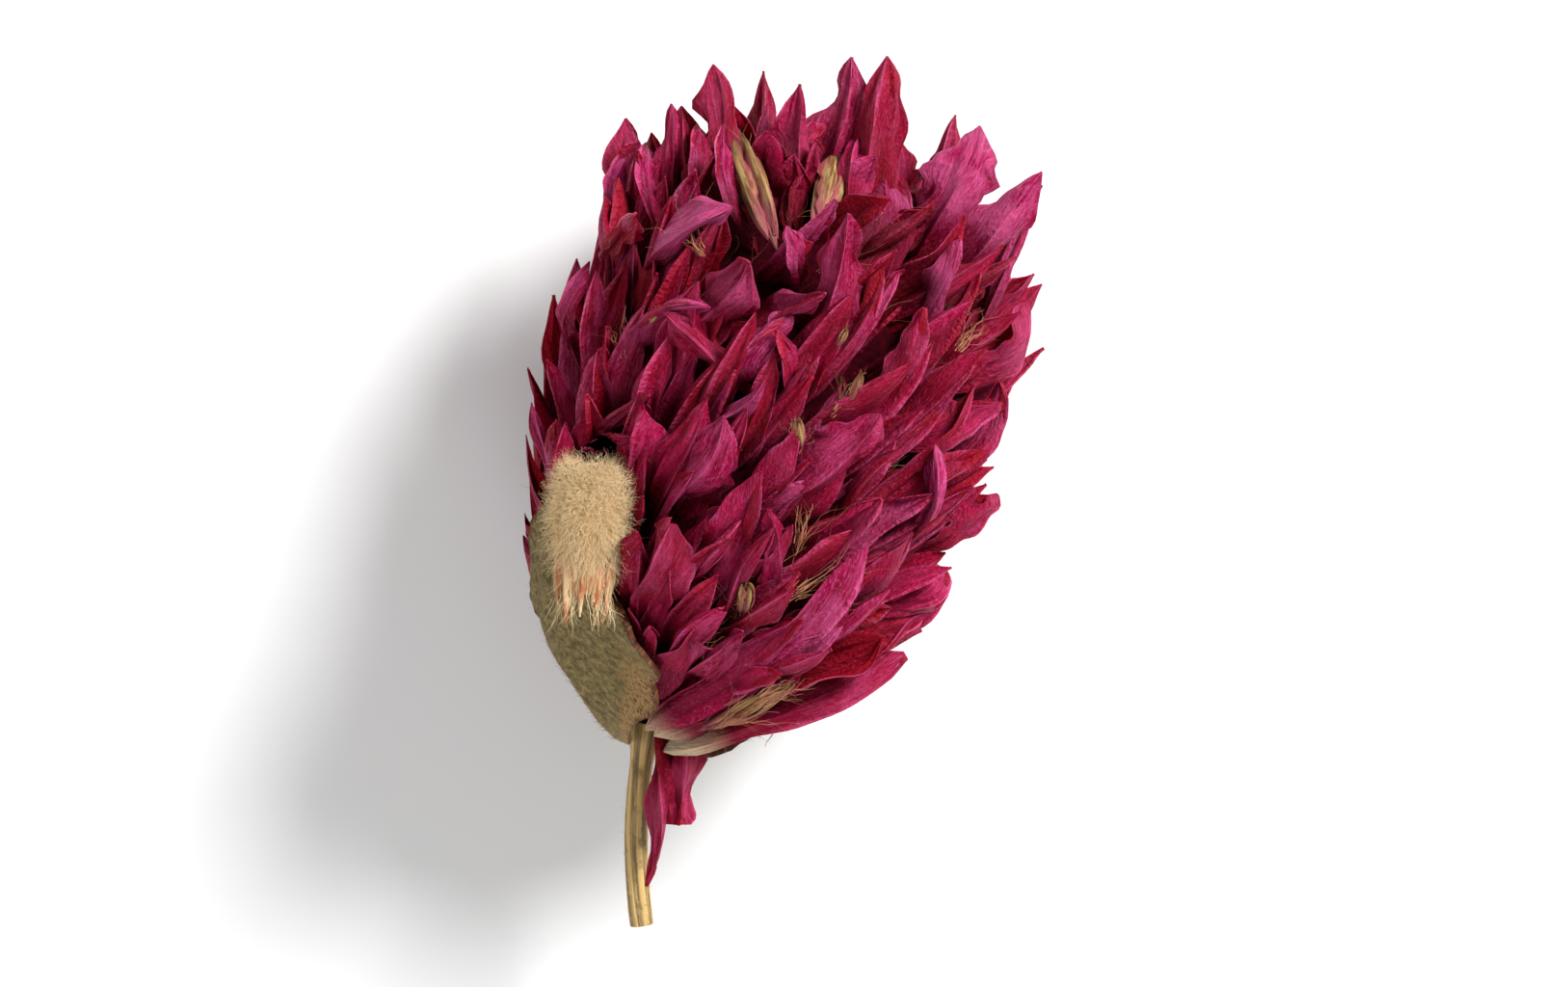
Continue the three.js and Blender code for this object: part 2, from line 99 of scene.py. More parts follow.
BASE_BRACTEOLES = [
    ((-6.0, -11.9, 11.8), (5.4, -7.6, 12.0), 1.3, {"blunt": 0.4, "cream": 0.32, "foot": 0.6, "inset": 0}),
    ((-6.7, -10.9, 12.8), (4.2, -3.2, 17.4), 1.6, {"pale": 0.6, "foot": 0.4, "inset": 0, "spreading": 0.2}),
    ((-6.3, -11.2, 12.2), (2.6, -6.0, 15.8), 1.3, {"pale": 0.7, "cream": 0.1, "foot": 0.45, "inset": 0}),
    ((-4.0, -9.2, 8.6), (6.6, -4.6, 9.5), 1.2, {}),
    ((-4.6, -10.0, 8.6), (1.0, -10.3, 7.5), 0.7, {"cream": 0.2}),
]
HANGING_BRACTEOLES = [
    ((-6.0, -9.6, 11.3), (-5.9, -18.2, 11.4), 0.9, {"widest": 0.35, "hook": -0.5}),
    ((-4.8, -9.8, 10.8), (-5.0, -15.2, 10.9), 1.0, {"blunt": 0.8, "cream": 0.5, "foot": 0.4, "torn": 0.2}),
]

# The same, with what those of each group share.
STANDING_OUT = (
    (CROWN_BRACTEOLES, {"bow": 0.4, "face": (0.1, 0, 1), "torn": 0.28, "spreading": 0.3}),
    (BASE_BRACTEOLES, {"bow": 0.8, "face": (0.3, -0.8, 0.6), "pressed": False}),
    (HANGING_BRACTEOLES, {"bow": 0.5, "face": (0, 0, 1), "pressed": False}),
)

# Bracteoles on the side that faces up: where each comes out from between the others, its tip, its
# half width, how pale it is and what else sets it apart. They lie over those of the spiral.
FRONT_BRACTEOLES = [
    ((2.8, 9.0), (5.0, 15.3), 1.8, 0.9, {"spreading": 0.25, "raised": 0.8}),
    ((1.2, 6.0), (3.2, 12.6), 1.1, 0.5, {}),
    ((-1.4, 10.0), (2.5, 13.2), 1.2, 0.8, {}),
    ((-6.2, 10.3), (-3.0, 12.4), 1.5, 0.9, {}),
    ((-8.3, 10.7), (-6.2, 12.7), 0.8, 0.2, {}),
    ((-4.5, 7.2), (-1.3, 10.4), 1.1, 0.5, {}),
    ((-2.8, 6.9), (1.4, 9.9), 1.1, 0.5, {}),
    ((-7.8, 5.9), (-4.2, 9.6), 1.0, 0.6, {}),
    ((-1.4, 4.4), (-5.0, 8.6), 1.0, 0.3, {}),
    ((-2.6, 4.7), (-0.3, 7.5), 1.2, 0.8, {}),
    ((1.2, 4.9), (4.7, 10.0), 1.0, 0.5, {}),
    ((3.1, 3.4), (6.3, 8.4), 1.0, 0.3, {}),
    ((5.1, 7.1), (7.8, 11.6), 1.1, 0.7, {}),
    ((7.4, 5.1), (11.0, 8.8), 1.2, 0.4, {}),
    ((6.4, 0.6), (10.2, 4.7), 1.2, 0.4, {}),
    ((4.9, 2.3), (9.4, 4.5), 0.9, 0.2, {}),
    ((-4.3, 2.8), (-0.7, 5.0), 0.9, 1.0, {}),
    ((0.1, 3.3), (-0.1, 7.4), 0.8, 0.3, {}),
    ((-5.8, -0.1), (-2.4, 2.8), 1.4, 0.5, {}),
    ((-1.0, 0.1), (4.2, 3.5), 1.4, 0.4, {}),
    ((1.4, -1.1), (4.5, 2.4), 1.0, 0.2, {}),
    ((4.7, -2.1), (6.8, 1.7), 1.1, 1.0, {}),
    ((-6.9, -5.7), (-4.7, -1.9), 1.5, 0.3, {"blunt": 0.3, "raised": 0.4}),
    ((-4.5, -4.4), (-2.7, -1.4), 1.0, 0.3, {}),
    ((-3.3, -6.1), (-1.3, -1.0), 1.0, 0.3, {}),
    ((-1.0, -5.9), (-0.7, -0.6), 0.7, 0.4, {}),
    ((-5.9, -8.9), (-3.9, -5.4), 1.4, 0.4, {"blunt": 0.3, "raised": 0.4}),
    ((-0.3, -4.4), (4.2, -0.1), 1.1, 0.3, {}),
    ((3.7, -5.1), (7.4, -3.2), 1.2, 0.4, {"blunt": 0.2}),
    ((1.9, -7.1), (6.6, -4.9), 1.1, 0.2, {}),
    ((5.9, -2.4), (8.9, 0.3), 1.2, 0.3, {"blunt": 0.15}),
    ((-8.6, 2.6), (-6.4, 4.9), 0.9, 0.3, {}),
    ((-9.3, 1.6), (-7.3, 3.2), 0.9, 0.3, {}),
    ((-10.0, 6.9), (-9.2, 10.2), 0.6, 0.5, {}),
    ((-7.3, 0.6), (-6.1, 3.6), 0.9, 0.3, {}),
    ((-7.7, 12.1), (-7.1, 16.3), 0.8, 0.9, {}),
    ((-5.6, 11.6), (-6.4, 16.6), 0.8, 0.7, {}),
    ((-3.4, 11.6), (-3.7, 17.2), 0.9, 0.5, {}),
    ((0.2, 12.2), (0.8, 17.2), 0.8, 0.4, {}),
    ((2.7, 12.4), (3.5, 17.0), 0.8, 0.4, {}),
    ((0.1, 11.6), (-1.3, 17.6), 0.6, 0.9, {}),
    ((-1.6, 11.4), (-3.6, 16.6), 0.6, 0.8, {}),
    ((0.6, 12.0), (1.1, 16.6), 0.6, 0.6, {}),
    ((2.0, 11.6), (3.4, 16.2), 0.6, 0.6, {}),
    ((0.4, 9.6), (0.4, 12.2), 0.8, 0.7, {}),
]

# The share of their length that is hidden, how deep their roots lie, how far their tips lie over
# the egg of tips, how much they stray, roll and hook, and what they share.
FRONT = {
    "hidden": 0.25, "root_depth": 4.2, "lift": 0.3, "stray": 0.3, "roll": 0.5, "hook": 1.1,
    "shared": {"bow": 1.0, "torn": 0.18, "blunt": 0.12, "spreading": 0.1, "raised": 0},
}

# Straw perianths that show between the bracteoles on that side: start, tip, radius and how far the
# two lie under the egg of tips.
PERIANTHS = [
    ((-0.6, 11.0), (-2.4, 16.9), 0.42, (1.8, 0.5)),
    ((1.1, 11.4), (2.2, 16.2), 0.4, (1.8, 0.5)),
    ((-4.4, -11.0), (0.3, -8.5), 0.34, (-0.2, -0.5)),
    ((-6.6, 7.7), (-6.0, 8.4), 0.13, (0.6, 0.1)),
    ((0.5, 2.0), (0.3, 3.4), 0.16, (1.2, 0.2)),
    ((2.5, 3.6), (3.3, 5.6), 0.13, (1.2, 0.2)),
    ((2.1, 6.6), (2.6, 7.6), 0.1, (0.8, 0.1)),
    ((-4.4, -7.4), (-4.2, -5.7), 0.2, (1.0, 0.3)),
    ((-2.2, -5.6), (-2.0, -3.9), 0.24, (1.4, 0.6)),
]
TEPALS = 5

# Tufts of filaments that show in hollows there, in the same way.
TUFTS = [
    ((-2.2, -6.0), (-1.9, -3.9), 0.7, (1.8, 1.0)),
    ((-4.2, -7.4), (-4.0, -5.7), 0.4, (1.4, 0.7)),
    ((1.9, 3.6), (3.1, 5.5), 0.2, (1.2, 0.5)),
    ((0.3, 1.9), (0.5, 3.2), 0.2, (1.2, 0.3)),
    ((0.2, -2.6), (1.2, 0.0), 0.35, (1.6, 0.8)),
    ((-0.2, -4.9), (3.4, -2.4), 0.35, (1.6, 0.9)),
    ((-7.6, 6.2), (-7.9, 7.9), 0.2, (1.2, 0.5)),
    ((7.6, 6.6), (8.6, 8.2), 0.25, (1.2, 0.5)),
    ((-3.9, 10.9), (-5.2, 12.6), 0.3, (0.8, 0.3)),
    ((-3.4, -10.7), (-1.2, -9.4), 0.25, (-0.7, -1.3)),
    ((-1.6, -9.6), (0.4, -8.2), 0.3, (-0.8, -1.4)),
]
TUFT_FILAMENTS = 16

# Loose straws at the head's foot: root, way and length.
LOOSE_STRAWS = [
    ((-0.3, -10.2, 9.5), (-1.1, -1.4, 0.2), 1.8),
    ((-0.2, -10.1, 9.5), (1.2, -0.2, 0.0), 1.3),
]

# Where bracteoles are missing: near the loose floret and the thicker perianths, as seen from above
# on the upper side, and low on the head at turns from the leafy bract's middle.
UPPER_SIDE = 12
CLEAR_OF_WOOL = 1.6
CLEAR_OF_PERIANTHS = 0.9
CLEARING_RADIUS = 0.3
CLEAR_OF_LEAF = {"height": 4, "turns": (-0.5, 1.3)}

# How many hairs and fibres there are, and how thick, as radii at their roots.
FILAMENTS_EACH = 3
WOOL_HAIRS = 5000
WOOL_POINTS = 20
FOOT_HAIRS = 160
WOOL_SPECKS = 70
LEAF_HAIRS = 1100
STEM_HAIRS = 260
RADIUS = {
    "leaf_hair": 0.007, "stem_hair": 0.01, "wool_hair": 0.012, "foot_hair": 0.016,
    "perianth_fibre": 0.016, "filament": 0.02, "tuft": 0.025, "speck": 0.045, "loose_straw": 0.05,
}

# A bracteole's sheet.
FINE_SHEET = {"rows": 24, "half": [0.07, 0.22, 0.37, 0.52, 0.67, 0.82, 1]}
COARSE_SHEET = {"rows": 14, "half": [0.1, 0.4, 0.7, 1]}
SHEET_THICKNESS = 0.1
SMALL_BLADE = {"crest": 0.0, "spreading": 0.3, "torn": 0.3, "sheet": COARSE_SHEET, "pressed": False}

# Leafy bracts, stem and loose woolly floret, as in their solids.
LEAF = {"foot": 0.035, "tip": 0.35, "half_width": 5.4, "rib": 0.3, "wave": 0.22}
LEAF_VEIN = 0.07
LEAF_SINK = 0.6
LEAF_EDGE = 0.35
LEAF_CLASP = 1.1
LEAF_TURN = math.radians(150)
UNDER_LEAF_TURN = math.radians(294)
STEM_POINTS = np.array([[-6.9, -20.05, 8.9], [-7.15, -15.5, 9.5], [-6.65, -10.6, 10.15]])
STEM_RADIUS = 0.55
STEM_TOP_RADIUS = 0.75
WOOL_TOP = np.array([-9.1, 1.4, 18.4])
WOOL_FOOT = np.array([-9.4, -4.6, 18.0])
WOOL_RADIUS = 1.85
WOOL_FLATNESS = 0.6

# How many units of grain run along the whole of an egg's outline on a leaf, and along the stem.
LEAF_GRAIN = 40
STEM_GRAIN = 9

# How far under the egg of tips bracteoles stay under a leafy bract's foot, how much further under
# its tip, and the least share of the egg's radius that they keep.
LEAF_BED = {"foot": 0.6, "further": 1.4, "least_share": 0.6}

# How far below the loose floret's foot they stay near its middle line, from where they are free of
# it, and how far they may rise there.
WOOL_BED = {"below": 1, "near": 1.5, "free": 1.9, "rise": 20}

# Where they start to be pressed in on the head's left, and how far they still reach there.
LEFT_SOFT = -11.6
LEFT_GIVE = 0.9

# The height under which points ease off above the floor, the depth in the head that counts as
# deep, and the angle from which an edge is sharp.
FLOOR_SOFT = 0.4
# The bracteoles' painted shade deepens with depth in the head, measured against DEEP.
DEEP = 5
SHARP_ANGLE = math.radians(60)

# The first number of the forms of each kind. Its number picks what a form draws.
FIRST = {
    "perianths": 500, "tufts": 600, "standing_out": 1000, "front": 2000, "small": 3000,
    "wool_points": 4000,
}
MASK = 0xFFFFFFFF

# The lamps, by place, width and power, the spot that they are turned to, how bright the white
# surroundings are, and how far the floor reaches, in metres.
LAMPS = [
    ("key", (260, 230, 300), 180, 3.1),
    ("fill", (-320, -60, 300), 260, 0.5),
    ("foot", (60, -340, 240), 260, 0.6),
]
LIT_SPOT = (0, 0, 10)
WORLD_STRENGTH = 0.24
FLOOR_REACH = 2.0

# The camera, straight above, and the photograph's size in pixels.
CAMERA_DISTANCE = 500
VIEW_MIDDLE = (-0.3, 0, 12)
VIEW_HEIGHT = 45.6
SENSOR_WIDTH = 36
PHOTO_SIZE = (1627, 1024)


def draw(index, channel):
    """A repeatable number from 0 to 1 for form number index; channel picks which of its numbers."""
    h = ((index + 1) * 0x9E3779B1 ^ (channel + 1) * 0x85EBCA6B) & MASK
    h = ((h ^ (h >> 15)) * 0x2C1B3C6D) & MASK
    h = ((h ^ (h >> 12)) * 0x297A2D39) & MASK
    return (h ^ (h >> 15)) / (MASK + 1)


def spread(index, channel):
    """The same, from -1 to 1."""
    return 2 * draw(index, channel) - 1


def unit(vectors):
    """Vectors scaled to length 1, along the last axis."""
    return vectors / np.maximum(np.linalg.norm(vectors, axis=-1, keepdims=True), 1e-9)


def lerp(a, b, share):
    return a + (b - a) * share


def smoothstep(low, high, value):
    """0 up to low and 1 from high on, with a smooth step between them; low may be the larger."""
    share = np.clip((value - low) / (high - low), 0, 1)
    return share * share * (3 - 2 * share)


def triples(first, second, third):
    """Three values for every point of a grid."""
    return np.stack(np.broadcast_arrays(first, second, third), -1)


def waves(seed, x, y, scale):
    """Smooth noise from about -1 to 1 over two coordinates, another for each seed."""
    rng = np.random.default_rng(seed)
    count = 7
    total = 0
    for _ in range(count):
        turn = rng.uniform(0, math.tau)
        rate = scale * rng.uniform(0.6, 1.6)
        shift = rng.uniform(0, math.tau)
        total = total + np.sin(rate * (x * math.cos(turn) + y * math.sin(turn)) + shift)
    return 2 * total / count


def outline(egg, angle):
    """Height and radius on an egg's outline, at angle 0 at its base and pi at its top."""
    below = angle < math.pi / 2
    power = 2 / (egg["round_below"] if below else egg["round_above"])
    along = abs(math.cos(angle)) ** power * (-egg["below"] if below else egg["above"])
    return egg["widest"] + along, egg["radius"] * math.sin(angle) ** power


def outward(turn):
    """The way out from the head's axis. Turn pi / 2 faces up."""
    return HEAD_RIGHT * math.cos(turn) + HEAD_FRONT * math.sin(turn)


def head_point(height, radius, turn):
    return HEAD_BASE + HEAD_UP * height + outward(turn) * radius


def egg_point(egg, angle, turn, lift):
    """The point on an egg at an angle up its outline and a turn round it, lifted off its surface."""
    step = 0.01
    before, after = outline(egg, angle - step), outline(egg, angle + step)
    off = np.array([after[0] - before[0], before[1] - after[1]])
    off *= lift / np.linalg.norm(off)
    height, radius = outline(egg, angle)
    return head_point(height + off[1], radius + off[0], turn)


def even_angles(egg, count, lowest):
    """Angles on an egg's outline that share its surface out equally, from a lowest share up."""
    steps = 720
    areas = [0.0]
    for i in range(steps):
        low, high = outline(egg, i / steps * math.pi), outline(egg, (i + 1) / steps * math.pi)
        areas.append(areas[-1] + (low[1] + high[1]) * math.hypot(high[1] - low[1], high[0] - low[0]))
    first = areas[round(lowest * steps)]
    wanted = first + (areas[-1] - first) * (np.arange(count) + 0.5) / count
    return np.interp(wanted, areas, np.arange(steps + 1) / steps * math.pi)


def outline_radius(egg, heights):
    """An egg's radius at heights above the head's base."""
    pairs = np.array([outline(egg, angle) for angle in np.linspace(0, math.pi, 240)])
    return np.interp(heights, pairs[:, 0], pairs[:, 1])


def outline_share(egg, heights):
    """How far up an egg's outline heights lie, as a share of half a turn."""
    shares = np.linspace(0, 1, 240)
    pairs = np.array([outline(egg, share * math.pi) for share in shares])
    return np.interp(heights, pairs[:, 0], shares)


def in_head(points):
    """Points' heights, radii and turns about the head's axis."""
    from_base = points - HEAD_BASE
    height = from_base @ HEAD_UP
    right, front = from_base @ HEAD_RIGHT, from_base @ HEAD_FRONT
    return height, np.hypot(right, front), np.arctan2(front, right) % math.tau


def head_depth(points):
    """How far points lie under the bracteoles' tips, from 0 to 1 where it is DEEP or more. The bracteoles'
    finish darkens with it, as painted shade.
    """
    height, radius, _ = in_head(points)
    below_top = TIPS["widest"] + TIPS["above"] - height
    return np.clip(np.minimum(outline_radius(TIPS, height) - radius, below_top) / DEEP, 0, 1)


def on_front(spot, sunk):
    """The point of the head over or under a spot seen from above, sunk under the egg of tips."""
    flat = np.asarray(spot, float) - HEAD_BASE[:2]
    height, aside = flat @ HEAD_UP[:2], flat @ HEAD_RIGHT[:2]
    rise = math.sqrt(max(outline_radius(TIPS, height) ** 2 - aside**2, 1))
    return HEAD_BASE + HEAD_UP * height + HEAD_RIGHT * aside + HEAD_FRONT * (rise - sunk)


def away_from_axis(point):
    """The way from the head's axis to a point."""
    return unit(point - HEAD_BASE - HEAD_UP * ((point - HEAD_BASE) @ HEAD_UP))


def distance_seen(points, start, end):
    """How far points lie from the line from start to end, as seen from above."""
    line = np.subtract(end, start)[:2]
    from_start = points[:, :2] - start[:2]
    share = np.clip(from_start @ line / (line @ line), 0, 1)
    return np.linalg.norm(from_start - share[:, None] * line, axis=1)


def under_cover(points):
    """Points of bracteoles pressed in where a leafy bract or the loose floret lies on them, and at
    the head's left."""
    height, radius, turn = in_head(points)
    whole = outline_radius(TIPS, height)
    along = (outline_share(TIPS, height) - LEAF["foot"]) / (LEAF["tip"] - LEAF["foot"])
    shape = np.sin(math.pi * np.clip(along, 0.1, 0.9)) ** 0.8
    reach = LEAF["half_width"] * shape / np.maximum(whole, 1)
    under_leaf = whole - LEAF_BED["foot"] - LEAF_BED["further"] * np.clip(along, 0, 1)
    under_leaf = np.maximum(under_leaf, LEAF_BED["least_share"] * whole)
    for middle in (LEAF_TURN, UNDER_LEAF_TURN):
        away = np.abs((turn - middle + math.pi) % math.tau - math.pi)
        covered = smoothstep(1.5, 1.1, away / reach) * smoothstep(1.1, 1.0, along)
        covered = covered * smoothstep(-0.1, 0.05, along)
        radius = np.where(radius > under_leaf, lerp(radius, under_leaf, covered), radius)
    pressed = HEAD_BASE + height[:, None] * HEAD_UP
    pressed = pressed + (radius * np.cos(turn))[:, None] * HEAD_RIGHT
    pressed = pressed + (radius * np.sin(turn))[:, None] * HEAD_FRONT
    free = smoothstep(WOOL_BED["near"], WOOL_BED["free"], distance_seen(pressed, WOOL_FOOT, WOOL_TOP))
    pressed[:, 2] = np.minimum(pressed[:, 2], WOOL_FOOT[2] - WOOL_BED["below"] + WOOL_BED["rise"] * free)
    beyond = np.maximum(LEFT_SOFT - pressed[:, 0], 0)
    pressed[:, 0] += beyond - LEFT_GIVE * (1 - np.exp(-beyond / LEFT_GIVE))
    return pressed


def above_floor(points):
    """Points pressed up from the surface that the flower lies on, close to it and under it."""
    z = points[:, 2]
    pressed = points.copy()
    eased = FLOOR_SOFT * np.exp((np.minimum(z, FLOOR_SOFT) - FLOOR_SOFT) / FLOOR_SOFT)
    pressed[:, 2] = np.where(z > FLOOR_SOFT, z, eased)
    return pressed


def put(name, data):
    """A new object in the scene."""
    made = bpy.data.objects.new(name, data)
    bpy.context.scene.collection.objects.link(made)
    return made


class Bundle:
    """Many small forms that become one mesh. Each point has a grain, which is its place on its form
    in millimetres across and along and the form's number, a place, which is its share along, its
    share from the middle to the edge and how far it is an inner face or on a vein, and a tone, which
    is how pale the form is, how cream its foot is and how deep in the head the point lies, which the
    bracteoles' finish turns into painted shade."""

    def __init__(self):
        self.points = []
        self.faces = []
        self.marks = {"grain": [], "place": [], "tone": []}
        self.count = 0

    def add(self, points, faces, grain, place, tone=(0.0, 0.0)):
        points = above_floor(points.reshape(-1, 3))
        self.points.append(points)
        for group in faces:
            self.faces.extend((group + self.count).tolist())
        for label, values in zip(self.marks, (grain, place, triples(*tone, head_depth(points)))):
            self.marks[label].append(values.reshape(-1, 3))
        self.count += len(points)

    def make(self, name, material, slot, node):
        mesh = bpy.data.meshes.new(name)
        points = np.concatenate(self.points) * MM
        mesh.from_pydata(points.tolist(), [], self.faces)
        for label, values in self.marks.items():
            attribute = mesh.attributes.new(label, "FLOAT_VECTOR", "POINT")
            attribute.data.foreach_set("vector", np.concatenate(values).astype(np.float32).ravel())
        mesh.shade_smooth()
        mesh.set_sharp_from_angle(angle=SHARP_ANGLE)
        mesh.materials.append(material)
        piece = put(name, mesh)
        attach(piece, "root")
        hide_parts(node)


def sheet_faces(rows, columns):
    """Faces of a closed sheet whose points are a grid, then the same grid on its other side."""
    grid = np.arange(rows * columns).reshape(rows, columns)
    front = np.stack([grid[:-1, :-1], grid[1:, :-1], grid[1:, 1:], grid[:-1, 1:]], -1).reshape(-1, 4)
    back = front[:, ::-1] + rows * columns
    rim = np.concatenate([grid[:-1, 0], grid[-1, :-1], grid[:0:-1, -1], grid[0, :0:-1]])
    following = np.roll(rim, -1)
    edge = np.stack([following, rim, rim + rows * columns, following + rows * columns], -1)
    return [front, back, edge]


def tube_faces(rings, sides):
    """Faces of a closed tube of rings, turning right-handed about the way that they follow."""
    grid = np.arange(rings * sides).reshape(rings, sides)
    onward = np.roll(grid, -1, axis=1)
    wall = np.stack([grid[:-1], onward[:-1], onward[1:], grid[1:]], -1).reshape(-1, 4)
    return [wall, grid[:1, ::-1], grid[-1:]]


def normals_of(grid):
    """Normals of a grid of points, rows by columns, along the rows' way crossed with the columns'."""
    down = np.gradient(grid, axis=0)
    across = np.gradient(grid, axis=1)
    return unit(np.cross(down, across))


def bezier(root, middle, tip, share):
    """Points and directions at shares along a quadratic curve."""
    point = (1 - share) ** 2 * root + 2 * share * (1 - share) * middle + share**2 * tip
    way = 2 * (1 - share) * (middle - root) + 2 * share * (tip - middle)
    return point, unit(way)


def turned(vectors, axes, angles):
    """Vectors turned about axes at right angles to them, by angles in radians."""
    return vectors * np.cos(angles) + np.cross(axes, vectors) * np.sin(angles)


def bracteole_size(index, share, inset, foot, widest, blunt):
    """A bracteole's width at shares along its line, from 0 to 1."""
    widest = widest + 0.08 * spread(index, 27)
    widening = foot + (1 - foot) * np.sin(np.clip(share / widest, 0, 1) * math.pi / 2) ** 1.5
    tapering = (1 - np.clip((share - widest) / (1 - widest), 0, 1) ** 2) ** 0.85
    tapering = lerp(tapering, 1 - 0.3 * smoothstep(0.93, 1, share), blunt)
    rounding = np.sqrt(np.clip((share - inset) / 0.12, 0, 1))
    return np.maximum(widening * tapering * rounding, 0.03)


def wrinkled(index, share, across, size, crumpled):
    """How far a bracteole's creases, pleats, buckles and wavy margin lift it, by how crumpled it is."""
    creases = 0.2 * np.abs(np.sin(math.pi * (1.7 * across + 0.8 * share + draw(index, 28))))
    creases = creases + 0.14 * np.abs(np.sin(math.pi * (2.9 * across - 1.1 * share + draw(index, 29))))
    pleats = 0.1 * np.sin(math.pi * (3.4 * across + 1.2 * waves(index + 90, share * 5, 0, 1)))
    buckle = 0.34 * waves(index + 200, share * 6, across * 2, 1.3)
    buckle = buckle + 0.09 * waves(index + 300, share * 14, across * 4, 1.3)
    margin = 0.3 * np.abs(across) ** 3 * np.sin(math.tau * (2.2 * share + draw(index, 24)) + across)
    return crumpled * (creases - 0.22 + pleats + buckle + margin) * np.minimum(size * 1.5, 1)


def bracteole(
    bundle, index, root, tip, face, roll, half_width, bow,
    crest=0.22, widest=0.58, spreading=0.0, blunt=0.0, hook=0.0, pale=0.3, cream=0.0, foot=0.3,
    inset=0.12, torn=0.12, sheet=FINE_SHEET, pressed=True,
):
    """A thin keeled sheet on a bowed line from root to tip, folded, wrinkled and curled as it dried.
    Face is the way that its back looks, and crest how high its keel stands there. The sheet starts
    at the share inset of its line, with foot of its width, and is widest at the share widest.
    Spreading, blunt, hook, pale, cream and torn say how much it is so, and a pressed one gives way
    to what lies on the head."""
    root, tip = np.asarray(root, float), np.asarray(tip, float)
    face = unit(np.asarray(face, float))
    share = np.linspace(inset, 1, sheet["rows"])[:, None]
    across = np.array([-c for c in reversed(sheet["half"])] + [0] + sheet["half"])[None, :]
    off_middle = np.abs(across)
    point, along = bezier(root, (root + tip) / 2 + face * bow, tip, share)
    back = unit(face - along * (along @ face)[:, None])
    back = turned(back, along, roll + 0.9 * spread(index, 20) * (share - 0.5))
    side = np.cross(back, along)

    size = bracteole_size(index, share, inset, foot, widest, blunt)
    ragged = waves(index + 700, share * 9, np.sign(across) * 5, 1.5)
    ragged = ragged + 0.8 * waves(index + 800, share * 28, np.sign(across) * 5, 1.2)
    arc = 1.45 * half_width * size * off_middle
    arc = arc * (1 + torn * ragged * off_middle**2)
    fold = 0.9 - spreading + 0.3 * np.where(across < 0, spread(index, 21), spread(index, 22))
    closing = (0.35 + 0.5 * spread(index, 23)) * off_middle
    ridge = smoothstep(0.3, 0.55, share) * (1 - smoothstep(0.9, 1, share))
    teeth = 0.65 + 0.35 * waves(index + 50, share * 26, 0, 1.0)
    keel = 0.8 * half_width * size + np.where(off_middle < 0.01, crest * ridge * teeth, 0)

    crumpled = min(1, half_width / 1.1) ** 1.5
    wrinkles = wrinkled(index, share, across, size, crumpled)
    end = np.clip((share - 0.6) / 0.4, 0, 1) ** 2
    sweep = 0.9 * crumpled * spread(index, 26) * share**2 + hook * end
    aside = np.sign(across) * arc * np.cos(fold + closing)
    aside = aside + np.sign(across) * wrinkles * np.sin(fold) * np.minimum(off_middle * 4, 1) + sweep
    lift = keel - arc * np.sin(fold + closing) + wrinkles * np.cos(fold)
    lift = lift + 1.1 * crumpled * spread(index, 25) * end
    grid = point[:, None, :] + side[:, None, :] * aside[..., None] + back[:, None, :] * lift[..., None]
    inner = grid - normals_of(grid) * SHEET_THICKNESS * (1 - 0.5 * off_middle**2)[..., None]

    points = np.stack([grid, inner]).reshape(-1, 3)
    grain = triples(across * half_width * size, share * np.linalg.norm(tip - root), index)
    bundle.add(
        under_cover(points) if pressed else points,
        sheet_faces(*grid.shape[:2]),
        np.stack([grain, grain]),
        np.stack([triples(share, off_middle, inside) for inside in (0, 1)]),
        (pale, cream),
    )


def hairs(bundle, roots, ways, lengths, radius, seed, bend=0.3, curl=0.0, coils=1.5, steps=4):
    """Three-sided tubes from roots along ways, each bent its own way by a share of its length and
    curled round it by up to curl millimetres."""
    count = len(roots)
    rng = np.random.default_rng(seed)
    ways = unit(ways)
    aside = unit(np.cross(ways, rng.normal(size=(count, 3))))
    other = np.cross(ways, aside)
    share = np.linspace(0, 1, steps + 1)[None, :, None]
    lengths = np.reshape(lengths, (-1, 1, 1))
    phase = rng.uniform(0, math.tau, (count, 1, 1)) + math.tau * coils * share
    middle = roots[:, None] + ways[:, None] * lengths * share + aside[:, None] * bend * lengths * share**2
    middle = middle + curl * share * (aside[:, None] * np.cos(phase) + other[:, None] * np.sin(phase))
    turns = (np.arange(3) / 3 * math.tau)[None, None, :, None]
    ring = aside[:, None, None] * np.cos(turns) + other[:, None, None] * np.sin(turns)
    points = middle[:, :, None] + ring * (radius * (1 - 0.75 * share))[..., None]
    offsets = (np.arange(count) * 3 * (steps + 1))[:, None, None]
    along = share * np.ones((count, 1, 3))
    bundle.add(
        points,
        [(group[None] + offsets).reshape(-1, group.shape[1]) for group in tube_faces(steps + 1, 3)],
        triples(0, along * lengths, np.arange(count)[:, None, None]),
        triples(along, 0, 0),
    )


def revolved(bundle, axes, origin, heights, radii, sides, index, rough):
    """A closed form turned about an axis, given its side and its way up, and dented by rough."""
    side, up = axes
    other = np.cross(side, up)
    turns = np.arange(sides) / sides * math.tau
    heights = heights[:, None]
    dents = waves(index + 31, 3 * np.cos(turns), 3 * np.sin(turns) + heights, 1.4)
    radii = radii[:, None] * (1 + rough * dents)
    grid = (
        origin
        + up * heights[..., None]
        + side * (radii * np.cos(turns))[..., None]
        - other * (radii * np.sin(turns))[..., None]
    )
    share = (heights - heights[0]) / (heights[-1] - heights[0])
    bundle.add(
        grid,
        tube_faces(len(heights), sides),
        triples(turns * np.max(radii), heights, index),
        triples(share, 0 * turns, 0),
    )


